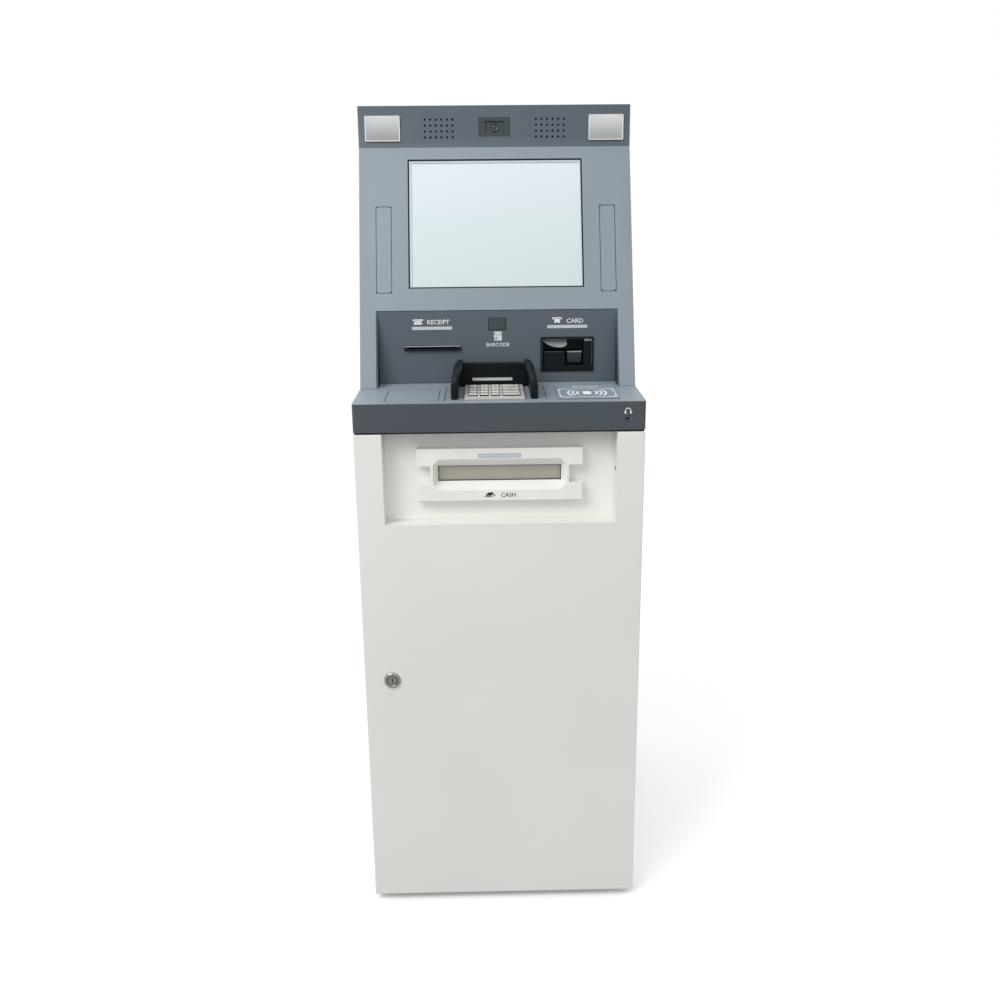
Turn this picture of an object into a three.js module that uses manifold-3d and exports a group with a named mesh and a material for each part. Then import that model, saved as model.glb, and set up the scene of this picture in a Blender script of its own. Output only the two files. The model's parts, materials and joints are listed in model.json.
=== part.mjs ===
// A free-standing cash machine: steel cabinet with a safe, a sloping console and a leaning head.
// Millimetres. X runs across, Y from the front to the back, Z up from the floor.
// Pieces are placed with Y measured from the front door's face; the last group centres them.
import * as THREE from "three";
import { ConvexGeometry } from "three/addons/geometries/ConvexGeometry.js";
import { mergeVertices } from "three/addons/utils/BufferGeometryUtils.js";
import Module from "manifold-3d";

// Overall sizes
const WIDTH = 470;
const DEPTH = 560;
const CABINET_TOP = 860;
const FOOT_HEIGHT = 12;
const SHEET = 2; // thickness of the folded steel
const GAP = 0.5; // between pieces that meet
const WELD = 1e-4; // vertices closer than this are one
const ROUND_SIDES = 32; // of a large round
const ROD_SIDES = 24;
const SMALL_SIDES = 20;
const SHADOW_GAP = 3; // dark line between the cabinet and the console

// Console: a sloping shelf with an upright front face
const CONSOLE_FACE = 46;
const CONSOLE_DEPTH = 155;
const CONSOLE_RETURN = 40; // underside, back from the front face
const SHELF_DEPTH = 107; // front edge to the foot of the head
const SHELF_RISE = 13;

// Head: a leaning screen panel under an upright strip
const SCREEN_RISE = 403;
const SCREEN_LEAN = 121;
const STRIP_HEIGHT = 68;
const STRIP_LEAN = 2;
const FASCIA_SHEET = 2.5;
const HEAD_BACK_INSET = 15; // head's back wall, in from the cabinet's back
const PILLAR_WIDTH = 27.5; // beside the service recess
const SERVICE_HEIGHT = 134.5; // of the recess, along the leaning panel
const SERVICE_BACK = 145; // service panel's face, behind the door's face

// Screen and the blanks beside it, along the leaning panel
const SCREEN_WIDTH = 302;
const SCREEN_HEIGHT = 227;
const SCREEN_FOOT = 173;
const GLASS_MARGIN = 9;
const GLASS_THICKNESS = 3;
const MODULE_MARGIN = 6;
const MODULE_THICKNESS = 30;
const BLANK_WIDTH = 26;
const BLANK_HEIGHT = 151;
const BLANK_FOOT = 165.5;
const BLANK_FLANGE = 3;

// Strip: mirrors and camera
const MIRROR_WIDTH = 60;
const MIRROR_HEIGHT = 41;
const MIRROR_THICKNESS = 2.7;
const MIRROR_INSET = 42;
const MIRROR_CENTRE = 31;
const CAMERA_WIDTH = 53;
const CAMERA_HEIGHT = 30;
const CAMERA_CENTRE = 33;
const CAMERA_WINDOW_WIDTH = 32;
const CAMERA_WINDOW_HEIGHT = 19;
const CAMERA_WINDOW_DEPTH = 4;
const CAMERA_BODY = 25;
const LENS_RADIUS = 6;

// Cabinet and front door
const DOOR_DEPTH = 20;
const DOOR_CLEARANCE = 4;
const FRONT_FLANGE = 22;
const DECK_FRONT = 60;
const CABLE_HOLE_WIDTH = 120;
const CABLE_HOLE_DEPTH = 100;
const CABLE_HOLE_BACK = 110; // its middle, in from the cabinet's back
const FOOT_INSET = 45;
const FOOT_RADIUS = 18;
const FOOT_PAD = 8;
const FOOT_STEM_RADIUS = 6;
const STIFFENER_WIDTH = 70;
const STIFFENER_DEPTH = 12;
const STIFFENER_MARGIN = 60;

// Front door's hinge
const PIVOT_INSET = 8;
const PIVOT_BACK = 10;
const PIN_RADIUS = 4;
const PIN_CLEARANCE = 0.6;
const PIN_MARGIN = 6;
const LUG_RADIUS = 7.5;
const LUG_THICKNESS = 6;
const LUG_MARGIN = 60;
const LUG_NOTCH = 2;
const KNUCKLE_REACH = 7;
const KNUCKLE_LENGTH = 40;

// Front door's lock
const LOCK_INSET = 47;
const LOCK_HEIGHT = 435;
const LOCK_RING_RADIUS = 14;
const LOCK_PROUD = 4;
const LOCK_BODY_RADIUS = 11.5;
const LOCK_BODY_LENGTH = 22;
const LOCK_PLUG_RADIUS = 8;
const LOCK_CLEARANCE = 0.4;
const CAM_NECK_RADIUS = 4;
const CAM_LENGTH = 40;
const CAM_WIDTH = 14;
const CAM_THICKNESS = 2.5;
const KEYWAY_WIDTH = 1.6;
const KEYWAY_HEIGHT = 8;

// Cash recess, its slot and shutter
const RECESS_WIDTH = 380;
const RECESS_HEIGHT = 150;
const RECESS_DEPTH = 35;
const CASH_PANEL_MARGIN = 5;
const SLOT_BELOW_TOP = 71; // slot's middle under the cabinet's top
const SLOT_WIDTH = 204;
const SLOT_HEIGHT = 26;
const BEZEL_BAR = 30.5; // from the slot to the bezel's top and bottom edges
const BEZEL_PROUD = 17;
const BEZEL_SIDE = 12; // from the slot to the bezel's side notches
const NOTCH_WIDTH = 22;
const NOTCH_MARGIN = 2; // notch past the slot, up and down
const FUNNEL_SIDE = 8;
const FUNNEL_RISE = 13.5;
const FUNNEL_CORNER = 10;
const SHUTTER_LAP = 4;
const SHUTTER_PLAY = 0.8;
const SHUTTER_TRAVEL = 30;
const RAIL_WIDTH = 6;
const RAIL_LIP = 4;
const STOP_WIDTH = 40;

// Safe
const SAFE_SIDE_GAP = 28;
const SAFE_FRONT = 96;
const SAFE_BACK_GAP = 13;
const SAFE_HEIGHT = 675;
const SAFE_WALL = 10;
const JAMB_WIDTH = 20;
const JAMB_THICKNESS = 5;
const SAFE_DOOR_THICKNESS = 13;
const SAFE_DOOR_GAP = 3;
const STEP_THICKNESS = 8.5;
const STEP_GAP = 5;
const SAFE_HINGE_RADIUS = 6.5;
const SAFE_HINGE_LENGTH = 40;
const SAFE_LUG_LENGTH = 20;
const SAFE_HINGE_MARGIN = 86;
const DIAL_RADIUS = 32;
const DIAL_THICKNESS = 12;
const DIAL_X = -60;
const DIAL_HEIGHT = 470;
const HANDLE_X = -60;
const HANDLE_HEIGHT = 350;
const HANDLE_HUB_RADIUS = 16;
const HANDLE_HUB_LENGTH = 18;
const HANDLE_SPAN = 130;
const HANDLE_BAR = 20;
const HANDLE_BAR_THICKNESS = 12;
const BOLT_RADIUS = 6;
const BOLT_LENGTH = 24;
const BOLT_COUNT = 3;
const BOLT_BAR_HEIGHT = 460;
const BOLT_BAR_WIDTH = 16;
const BOLT_BAR_THICKNESS = 8;

// Dispenser inside the safe, and the presenter on its roof
const CASSETTE_WALL = 16; // beside the notes
const CASSETTE_HEIGHT = 116;
const CASSETTE_DEPTH = 370;
const REJECT_HEIGHT = 68;
const CASSETTE_PLAY = 2;
const SHELF_SHEET = 2;
const CASSETTE_FRONT = 132;
const PULL_WIDTH = 80;
const PULL_HEIGHT = 26;
const PULL_DEPTH = 22;
const PULL_WALL = 5;
const TRANSPORT_HEIGHT = 220;
const NOTE_MARGIN = 6; // slot past the notes, each side
const NOTE_SLOT_DEPTH = 30;
const NOTE_SLOT_BACK = 44; // from the safe's front to the note slot in its roof
const PRESENTER_WALL = 16;
const PRESENTER_DEPTH = 205;
const PRESENTER_FRONT_GAP = 2;
const PRESENTER_ABOVE_SLOT = 46;
const THROAT_HEIGHT = 22;
const THROAT_DEPTH = 75;

// Service panel: receipt, barcode and card
const RECEIPT_X = -112;
const RECEIPT_ABOVE = 66; // above the foot of the head
const RECEIPT_WIDTH = 97;
const RECEIPT_LIP = 10;
const RECEIPT_SLOT_WIDTH = 82;
const RECEIPT_SLOT = 3;
const RECEIPT_PROUD = 5;
const RECEIPT_THROAT = 20;
const PRINTER_WIDTH = 107;
const PRINTER_DEPTH = 72;
const PRINTER_HEIGHT = 85;
const PRINTER_DROP = 40;
const ROLL_RADIUS = 28;
const ROLL_WIDTH = 80;
const ROLL_BORE = 6;
const ROLL_BEHIND = 5; // roll to the printer body's back
const ROLL_ABOVE = 12; // roll over the cradle's foot
const SPINDLE_RADIUS = 5;
const CRADLE_WALL = 3;
const SCANNER_WIDTH = 29;
const SCANNER_HEIGHT = 19;
const SCANNER_ABOVE = 105;
const SCANNER_DEPTH = 40;
const SCANNER_BODY_MARGIN = 10;
const CARD_X = 121;
const CARD_ABOVE = 52.5;
const CARD_WIDTH = 92;
const CARD_HEIGHT = 59;
const CARD_DEPTH = 34;
const CARD_PROUD = 3;
const CARD_RIM = 4;
const CARD_CAVITY = 26;
const CARD_SLOT_WIDTH = 58;
const CARD_SLOT = 3;
const CARD_SLOT_ABOVE = 6; // slot's middle above the bezel's middle
const CARD_SLOT_X = -8; // slot's middle, from the bezel's middle
const CARD_SILL = 14; // block under the slot, from the cavity's back
const CARD_HOOD_RADIUS = 22;
const CARD_HOOD_DROP = 14;
const CARD_HOOD_REACH = 24;
const CARD_GUIDE = 17;
const READER_WIDTH = 76;
const READER_HEIGHT = 60;
const READER_DEPTH = 150;
const READER_SLOT_DEPTH = 90;

// Keypad, its shield and the contactless pad, on the sloping shelf
const KEYPAD_X = -7;
const KEYPAD_FRONT = 20;
const KEYPAD_SIDE = 6.6; // plate past the keys
const KEYPAD_END = 10.15;
const KEYPAD_THICKNESS = 3.5;
const KEYPAD_SKIRT = 16;
const KEYPAD_RIM = 4;
const KEY_WIDTH = 13.7;
const KEY_WIDE = 28.4;
const KEY_LENGTH = 13.5;
const KEY_GAP_X = 4.9;
const KEY_PITCH_Y = 19.4;
const KEY_PROUD = 3;
const KEY_DRAFT = 0.8;
const KEY_CLEARANCE = 0.5;
const KEY_FOOT = 3;
const KEY_NAMES = [
  ["1", "2", "3", "cancel"],
  ["4", "5", "6", "clear"],
  ["7", "8", "9", "enter"],
  ["star", "0", "hash", "blank"],
];
const SHIELD_SPACE = 10; // between the keypad's plate and each fin
const SHIELD_LEAN = 15.5; // each fin's top, in from its foot
const SHIELD_FRONT = 22;
const SHIELD_BACK_GAP = 4;
const SHIELD_HEIGHT = 45;
const SHIELD_BACK_HEIGHT = 40;
const SHIELD_WALL = 12;
const SHIELD_TOP_WALL = 5;
const SHIELD_ROUND = 28;
const SHIELD_STEPS = 4; // of its rounded corner
const SHIELD_BACK_WALL = 12;
const PAD_WIDTH = 100;
const PAD_DEPTH = 94;
const PAD_THICKNESS = 1.2;
const PAD_INSET = 89; // middle, in from the side
const PAD_FRONT = 18;
const JACK_INSET = 29;
const JACK_ABOVE = 18; // above the console's lower edge
const JACK_RADIUS = 5;
const JACK_BORE = 1.9;
const JACK_LENGTH = 14;
const JACK_DEPTH = 12;

// Back of the head
const REAR_MARGIN = 27;
const REAR_SILL = 27;
const REAR_LAP = 7;
const REAR_HINGE_RADIUS = 4.5;
const REAR_HINGE_SEGMENTS = 5;
const REAR_HINGE_MARGIN = 8;
const REAR_HINGE_PLAY = 2;
const CABLE_FLANGE = 20;
const COMPUTER_WIDTH = 220;
const COMPUTER_DEPTH = 155;
const COMPUTER_HEIGHT = 125;
const COMPUTER_BACK_GAP = 45;

// Places that follow from the sizes
const HALF = WIDTH / 2;
const CABINET_FRONT = DOOR_DEPTH + DOOR_CLEARANCE;
const CONSOLE_BOTTOM = CABINET_TOP + SHADOW_GAP;
const CONSOLE_TOP = CONSOLE_BOTTOM + CONSOLE_FACE;
const PANEL_FOOT = CONSOLE_TOP + SHELF_RISE;
const STRIP_FOOT_Y = SHELF_DEPTH + SCREEN_LEAN;
const STRIP_FOOT_Z = PANEL_FOOT + SCREEN_RISE;
const HEAD_TOP = STRIP_FOOT_Z + STRIP_HEIGHT;
const HEAD_BACK = DEPTH - HEAD_BACK_INSET;
const SHELF_SLOPE = Math.atan2(SHELF_RISE, SHELF_DEPTH);
const PANEL_SLOPE = Math.atan2(SCREEN_LEAN, SCREEN_RISE);
const STRIP_SLOPE = Math.atan2(STRIP_LEAN, STRIP_HEIGHT);
const PIVOT_X = HALF - PIVOT_INSET;
const SLOT_Z = CABINET_TOP - SLOT_BELOW_TOP;
const PANEL_BACK = RECESS_DEPTH + GAP + SHEET; // back of the cash panel
const SHUTTER_FRONT = PANEL_BACK + SHUTTER_PLAY;
const RAIL_BACK = SHUTTER_FRONT + SHEET + SHUTTER_PLAY + SHEET;
const SHUTTER_HALF = SLOT_WIDTH / 2 + SHUTTER_LAP + SHEET;
const SAFE_HALF = HALF - SHEET - SAFE_SIDE_GAP;
const SAFE_BACK = DEPTH - SHEET - SAFE_BACK_GAP;
const SAFE_FLOOR = FOOT_HEIGHT + SHEET + GAP;
const SAFE_TOP = SAFE_FLOOR + SAFE_HEIGHT;
const SAFE_DOOR_BACK = SAFE_FRONT - SAFE_DOOR_GAP;
const SAFE_DOOR_FRONT = SAFE_DOOR_BACK - SAFE_DOOR_THICKNESS;
const SAFE_PIVOT_Y = (SAFE_DOOR_BACK + SAFE_DOOR_FRONT) / 2;
const SAFE_DOOR_FOOT = FOOT_HEIGHT + FRONT_FLANGE + SAFE_DOOR_GAP; // swings over the cabinet's flange
const JAMB_HALF = SAFE_HALF - SAFE_WALL - JAMB_WIDTH;
const STEP_HALF = JAMB_HALF - STEP_GAP;
const STEP_BACK = SAFE_DOOR_BACK + STEP_THICKNESS;
const SERVICE_HALF = HALF - PILLAR_WIDTH;
const SERVICE_TOP = PANEL_FOOT + SERVICE_HEIGHT * Math.cos(PANEL_SLOPE);
const RECEIPT_Z = PANEL_FOOT + RECEIPT_ABOVE;
const SCANNER_Z = PANEL_FOOT + SCANNER_ABOVE;
const CARD_Z = PANEL_FOOT + CARD_ABOVE;
const BEZEL_WAIST = SLOT_WIDTH + 2 * BEZEL_SIDE;
const BEZEL_WIDTH = BEZEL_WAIST + 2 * NOTCH_WIDTH;
const BEZEL_HEIGHT = SLOT_HEIGHT + 2 * BEZEL_BAR;
const NOTE_WIDTH = SLOT_WIDTH - 2 * NOTE_MARGIN;
const PRESENTER_WIDTH = NOTE_WIDTH + 2 * PRESENTER_WALL;
const CASSETTE_WIDTH = NOTE_WIDTH + 2 * CASSETTE_WALL;
const FRAME_HALF = CASSETTE_WIDTH / 2 + CASSETTE_PLAY + SHELF_SHEET;
const KEYS_WIDTH = 3 * (KEY_WIDTH + KEY_GAP_X) + KEY_WIDE;
const KEYS_DEPTH = 3 * KEY_PITCH_Y + KEY_LENGTH;
const KEYPAD_WIDTH = KEYS_WIDTH + 2 * KEYPAD_SIDE;
const KEYPAD_DEPTH = KEYS_DEPTH + 2 * KEYPAD_END;
const SHIELD_WIDTH = KEYPAD_WIDTH + 2 * (SHIELD_SPACE + SHIELD_WALL);
const SHIELD_TOP_WIDTH = SHIELD_WIDTH - 2 * SHIELD_LEAN;
const SHIELD_BACK = KEYPAD_FRONT + KEYPAD_DEPTH + SHIELD_BACK_GAP + SHIELD_BACK_WALL;
const shelfAt = (y) => CONSOLE_TOP + y * Math.tan(SHELF_SLOPE);
const panelAt = (z) => SHELF_DEPTH + (z - PANEL_FOOT) * Math.tan(PANEL_SLOPE);

const FINISHES = {
  paint_white: { color: 0xdedddb, roughness: 0.45, metalness: 0 },
  paint_grey: { color: 0x77828b, roughness: 0.5, metalness: 0 },
  paint_dark: { color: 0x525b62, roughness: 0.5, metalness: 0 },
  zinc_steel: { color: 0xa9adb0, roughness: 0.4, metalness: 0.9 },
  chrome: { color: 0xc8cacc, roughness: 0.15, metalness: 1 },
  safe_paint: { color: 0x3b4045, roughness: 0.6, metalness: 0.1 },
  brushed_steel: { color: 0xbfc0bd, roughness: 0.35, metalness: 0.9 },
  black_plastic: { color: 0x1d2225, roughness: 0.4, metalness: 0 },
  grey_plastic: { color: 0x8b9196, roughness: 0.55, metalness: 0 },
  pale_plastic: { color: 0xe0deda, roughness: 0.4, metalness: 0 },
  shutter_metal: { color: 0x9b988c, roughness: 0.45, metalness: 0.4 },
  glass: { color: 0xdfe6e7, roughness: 0.05, metalness: 0 },
  mirror: { color: 0xf0f2f4, roughness: 0.03, metalness: 1 },
  rubber: { color: 0x1a1a1a, roughness: 0.85, metalness: 0 },
  paper: { color: 0xf4f3ee, roughness: 0.9, metalness: 0 },
};

const wasm = await Module();
wasm.setup();

// A closed geometry as a solid that can be joined and cut, and a solid as a geometry again.
function toSolid(geometry) {
  const bare = geometry.clone();
  bare.deleteAttribute("normal");
  bare.deleteAttribute("uv");
  const merged = mergeVertices(bare, WELD);
  const vertProperties = merged.attributes.position.array;
  const triVerts = new Uint32Array(merged.index.array);
  return new wasm.Manifold(new wasm.Mesh({ numProp: 3, vertProperties, triVerts }));
}

function toGeometry(made) {
  const mesh = made.getMesh();
  const geometry = new THREE.BufferGeometry();
  geometry.setAttribute("position", new THREE.BufferAttribute(mesh.vertProperties, 3));
  geometry.setIndex(new THREE.BufferAttribute(mesh.triVerts, 1));
  geometry.computeVertexNormals();
  return geometry;
}

const join = (...pieces) => toGeometry(pieces.map(toSolid).reduce((a, b) => a.add(b)));
const cut = (body, ...tools) => toGeometry(
  tools.map(toSolid).reduce((a, b) => a.subtract(b), toSolid(body)),
);

// Simple shapes. Each range is [low, high] in either order.
function block(xs, ys, zs) {
  const low = [xs, ys, zs].map((range) => Math.min(...range));
  const size = [xs, ys, zs].map((range, i) => Math.max(...range) - low[i]);
  const middle = low.map((value, i) => value + size[i] / 2);
  return new THREE.BoxGeometry(...size).translate(...middle);
}

const ALONG_X = new THREE.Matrix4().set(0, 0, 1, 0, 1, 0, 0, 0, 0, 1, 0, 0, 0, 0, 0, 1);
const ALONG_Y = new THREE.Matrix4().set(1, 0, 0, 0, 0, 0, -1, 0, 0, 1, 0, 0, 0, 0, 0, 1);
const SHAPE_FRAMES = { x: ALONG_X, y: ALONG_Y, z: new THREE.Matrix4() };

// An outline of [a, b] points drawn along an axis: [y, z] for x, [x, z] for y, [x, y] for z.
function prism(outline, axis, range) {
  const low = Math.min(...range);
  const high = Math.max(...range);
  const shape = new THREE.Shape(outline.map(([a, b]) => new THREE.Vector2(a, b)));
  const drawn = new THREE.ExtrudeGeometry(shape, { depth: high - low, bevelEnabled: false });
  drawn.applyMatrix4(SHAPE_FRAMES[axis]);
  const shift = { x: [low, 0, 0], y: [0, high, 0], z: [0, 0, low] };
  return drawn.translate(...shift[axis]);
}

// A round bar along an axis, with its centre at [y, z] for x, [x, z] for y, [x, y] for z.
function rod(axis, radius, range, centre, sides = ROD_SIDES) {
  const low = Math.min(...range);
  const length = Math.max(...range) - low;
  const made = new THREE.CylinderGeometry(radius, radius, length, sides);
  const middle = low + length / 2;
  const [a, b] = centre;
  if (axis === "x") return made.rotateZ(-Math.PI / 2).translate(middle, a, b);
  if (axis === "y") return made.translate(a, middle, b);
  return made.rotateX(Math.PI / 2).translate(a, b, middle);
}

const hull = (points) => new ConvexGeometry(points.map((point) => new THREE.Vector3(...point)));
const around = (middle, size) => [middle - size / 2, middle + size / 2];
const both = (half) => [-half, half];
const SIDES = [-1, 1];

// Frames that lean with the shelf, the screen panel and the strip. In each, X is across,
// and the other two axes follow the surface, so that 0 is the painted face.
function leaningFrame(y, z, turn) {
  const frame = new THREE.Group();
  frame.position.set(0, y, z);
  frame.rotation.x = turn;
  frame.updateMatrix();
  return frame;
}

const cabinet = new THREE.Group();
const shelfFrame = leaningFrame(0, CONSOLE_TOP, SHELF_SLOPE);
const panelFrame = leaningFrame(SHELF_DEPTH, PANEL_FOOT, -PANEL_SLOPE);
const stripFrame = leaningFrame(STRIP_FOOT_Y, STRIP_FOOT_Z, -STRIP_SLOPE);
cabinet.add(shelfFrame, panelFrame, stripFrame);
const placed = (geometry, frame) => geometry.applyMatrix4(frame.matrix);

function add(name, geometry, finish, frame = cabinet) {
  const mesh = new THREE.Mesh(geometry, new THREE.MeshStandardMaterial(FINISHES[finish]));
  mesh.name = name;
  frame.add(mesh);
}

// Cabinet shell: sides, back, base and deck, with flanges round the front and hinge lugs.
const lugHeights = [
  FOOT_HEIGHT + LUG_MARGIN,
  (FOOT_HEIGHT + CABINET_TOP) / 2,
  CABINET_TOP - LUG_MARGIN,
];

function hingeLug(height) {
  const level = around(height, LUG_THICKNESS);
  const neck = block(
    [PIVOT_X - LUG_RADIUS, PIVOT_X + PIN_RADIUS / 2],
    [PIVOT_BACK, CABINET_FRONT + SHEET / 2],
    level,
  );
  const eye = rod("z", LUG_RADIUS, level, [PIVOT_X, PIVOT_BACK]);
  const bore = rod(
    "z",
    PIN_RADIUS + PIN_CLEARANCE,
    around(height, 2 * LUG_THICKNESS),
    [PIVOT_X, PIVOT_BACK],
  );
  return cut(join(neck, eye), bore);
}

function cabinetShell() {
  const inside = HALF - SHEET;
  const outer = block(both(HALF), [CABINET_FRONT, DEPTH], [FOOT_HEIGHT, CABINET_TOP]);
  const inner = block(
    both(inside),
    [CABINET_FRONT + SHEET, DEPTH - SHEET],
    [FOOT_HEIGHT + SHEET, CABINET_TOP - SHEET],
  );
  const doorway = block(
    both(HALF - FRONT_FLANGE),
    [CABINET_FRONT - 1, CABINET_FRONT + SHEET + 1],
    [FOOT_HEIGHT + FRONT_FLANGE, CABINET_TOP + 1],
  );
  const openTop = block(
    both(inside),
    [CABINET_FRONT + SHEET, DECK_FRONT],
    [CABINET_TOP - SHEET - 1, CABINET_TOP + 1],
  );
  const cableHole = block(
    both(CABLE_HOLE_WIDTH / 2),
    around(DEPTH - CABLE_HOLE_BACK, CABLE_HOLE_DEPTH),
    [CABINET_TOP - SHEET - 1, CABINET_TOP + 1],
  );
  return join(cut(outer, inner, doorway, openTop, cableHole), ...lugHeights.map(hingeLug));
}

add("cabinet_shell", cabinetShell(), "paint_white");

// Levelling feet: a round pad and a short stem.
function foot(x, y) {
  const profile = [
    [0, 0],
    [FOOT_RADIUS, 0],
    [FOOT_RADIUS, FOOT_PAD / 2],
    [FOOT_STEM_RADIUS, FOOT_PAD],
    [FOOT_STEM_RADIUS, FOOT_HEIGHT - GAP],
    [0, FOOT_HEIGHT - GAP],
  ].map(([r, z]) => new THREE.Vector2(r, z));
  return new THREE.LatheGeometry(profile, SMALL_SIDES).rotateX(Math.PI / 2).translate(x, y, 0);
}

const footX = HALF - FOOT_INSET;
const footFront = CABINET_FRONT + FOOT_INSET;
const footRear = DEPTH - FOOT_INSET;
add("foot_front_left", foot(-footX, footFront), "rubber");
add("foot_front_right", foot(footX, footFront), "rubber");
add("foot_rear_left", foot(-footX, footRear), "rubber");
add("foot_rear_right", foot(footX, footRear), "rubber");

// Front door: a folded tray with the cash recess, hinge knuckles and a stiffener inside.
function knuckle(height, side) {
  const near = height + side * (LUG_THICKNESS / 2 + LUG_NOTCH);
  const far = near + side * KNUCKLE_LENGTH;
  const body = block(
    [PIVOT_X - KNUCKLE_REACH, HALF - SHEET / 2],
    [SHEET / 2, PIVOT_BACK + KNUCKLE_REACH],
    [near, far],
  );
  const bore = rod("z", PIN_RADIUS + PIN_CLEARANCE, [near - side, far + side], [PIVOT_X, PIVOT_BACK]);
  return cut(body, bore);
}

function frontDoor() {
  const recessHalf = RECESS_WIDTH / 2;
  const recessFoot = CABINET_TOP - RECESS_HEIGHT;
  const outer = block(both(HALF), [0, DOOR_DEPTH], [FOOT_HEIGHT, CABINET_TOP]);
  const inner = block(
    both(HALF - SHEET),
    [SHEET, DOOR_DEPTH + 1],
    [FOOT_HEIGHT + SHEET, CABINET_TOP - SHEET],
  );
  const wallOuter = block(
    both(recessHalf + SHEET),
    [0, RECESS_DEPTH],
    [recessFoot - SHEET, CABINET_TOP],
  );
  const mouth = block(both(recessHalf), [-1, RECESS_DEPTH + 1], [recessFoot, CABINET_TOP + 1]);
  const lockHole = rod(
    "y",
    LOCK_BODY_RADIUS + LOCK_CLEARANCE,
    [-1, SHEET + 1],
    [LOCK_INSET - HALF, LOCK_HEIGHT],
  );
  const notches = lugHeights.map((height) => block(
    [HALF - SHEET - 1, HALF + 1],
    [SHEET + GAP, DOOR_DEPTH + 1],
    around(height, LUG_THICKNESS + 2 * LUG_NOTCH),
  ));
  const stiffenerSpan = [FOOT_HEIGHT + STIFFENER_MARGIN, recessFoot - STIFFENER_MARGIN];
  const stiffenerBack = SHEET + STIFFENER_DEPTH;
  const stiffener = cut(
    block(both(STIFFENER_WIDTH / 2), [SHEET / 2, stiffenerBack], stiffenerSpan),
    block(
      both(STIFFENER_WIDTH / 2 - SHEET),
      [SHEET, stiffenerBack - SHEET],
      [stiffenerSpan[0] - 1, stiffenerSpan[1] + 1],
    ),
  );
  const tray = cut(join(cut(outer, inner), wallOuter), mouth, lockHole, ...notches);
  const [lowLug, middleLug, topLug] = lugHeights;
  return join(tray, stiffener, knuckle(lowLug, 1), knuckle(middleLug, 1), knuckle(topLug, -1));
}

add("front_door", frontDoor(), "paint_white");
add(
  "door_hinge_rod",
  rod("z", PIN_RADIUS, [FOOT_HEIGHT + PIN_MARGIN, CABINET_TOP - PIN_MARGIN], [PIVOT_X, PIVOT_BACK]),
  "zinc_steel",
);

// Door lock: a ringed barrel, and a plug that turns in it with its cam behind the cabinet's flange.
function lockBarrel() {
  const centre = [LOCK_INSET - HALF, LOCK_HEIGHT];
  const ring = rod("y", LOCK_RING_RADIUS, [-LOCK_PROUD + GAP, -GAP], centre, ROUND_SIDES);
  const body = rod("y", LOCK_BODY_RADIUS, [-2 * GAP, LOCK_BODY_LENGTH], centre, ROUND_SIDES);
  const bore = rod(
    "y",
    LOCK_PLUG_RADIUS + LOCK_CLEARANCE,
    [-LOCK_PROUD, LOCK_BODY_LENGTH + 1],
    centre,
    ROUND_SIDES,
  );
  return cut(join(ring, body), bore);
}

function lockPlug() {
  const [x, z] = [LOCK_INSET - HALF, LOCK_HEIGHT];
  const camFront = CABINET_FRONT + SHEET + 1;
  const plug = rod("y", LOCK_PLUG_RADIUS, [-LOCK_PROUD, LOCK_BODY_LENGTH + GAP], [x, z]);
  const neck = rod("y", CAM_NECK_RADIUS, [LOCK_BODY_LENGTH, camFront + 1], [x, z], SMALL_SIDES);
  const cam = block(
    around(x, CAM_WIDTH),
    [camFront, camFront + CAM_THICKNESS],
    [z - CAM_WIDTH / 2, z + CAM_LENGTH],
  );
  const keyway = block(
    around(x, KEYWAY_WIDTH),
    [-LOCK_PROUD - 1, LOCK_BODY_LENGTH / 2],
    around(z, KEYWAY_HEIGHT),
  );
  return cut(join(plug, neck, cam), keyway);
}

add("door_lock_barrel", lockBarrel(), "chrome");
add("door_lock_plug", lockPlug(), "chrome");

// Cash panel: the recess's back plate, with rails and a stop for the shutter behind it.
function cashPanel() {
  const plate = block(
    both(RECESS_WIDTH / 2 + CASH_PANEL_MARGIN),
    [RECESS_DEPTH + GAP, PANEL_BACK],
    [CABINET_TOP - RECESS_HEIGHT - CASH_PANEL_MARGIN, CABINET_TOP - SHADOW_GAP],
  );
  const opening = block(
    both(SLOT_WIDTH / 2 + SHEET),
    [RECESS_DEPTH, PANEL_BACK + 1],
    around(SLOT_Z, SLOT_HEIGHT + 2 * SHEET),
  );
  const railSpan = [SLOT_Z - SLOT_HEIGHT, SLOT_Z + SLOT_HEIGHT / 2 + SHUTTER_TRAVEL + SHUTTER_LAP];
  const rails = SIDES.flatMap((side) => {
    const inner = side * (SHUTTER_HALF + GAP);
    const outer = side * (SHUTTER_HALF + RAIL_WIDTH);
    const lip = side * (SHUTTER_HALF - RAIL_LIP);
    return [
      block([inner, outer], [PANEL_BACK - SHEET / 2, RAIL_BACK], railSpan),
      block([lip, outer], [RAIL_BACK - SHEET, RAIL_BACK], railSpan),
    ];
  });
  const stopTop = SLOT_Z - SLOT_HEIGHT / 2 - SHUTTER_LAP - GAP;
  const stop = block(
    both(STOP_WIDTH / 2),
    [PANEL_BACK - SHEET / 2, SHUTTER_FRONT + SHEET],
    [railSpan[0], stopTop],
  );
  return join(cut(plate, opening), ...rails, stop);
}

add("cash_panel", cashPanel(), "paint_white");
add(
  "shutter_plate",
  block(
    both(SHUTTER_HALF),
    [SHUTTER_FRONT, SHUTTER_FRONT + SHEET],
    around(SLOT_Z, SLOT_HEIGHT + 2 * SHUTTER_LAP),
  ),
  "shutter_metal",
);

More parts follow.
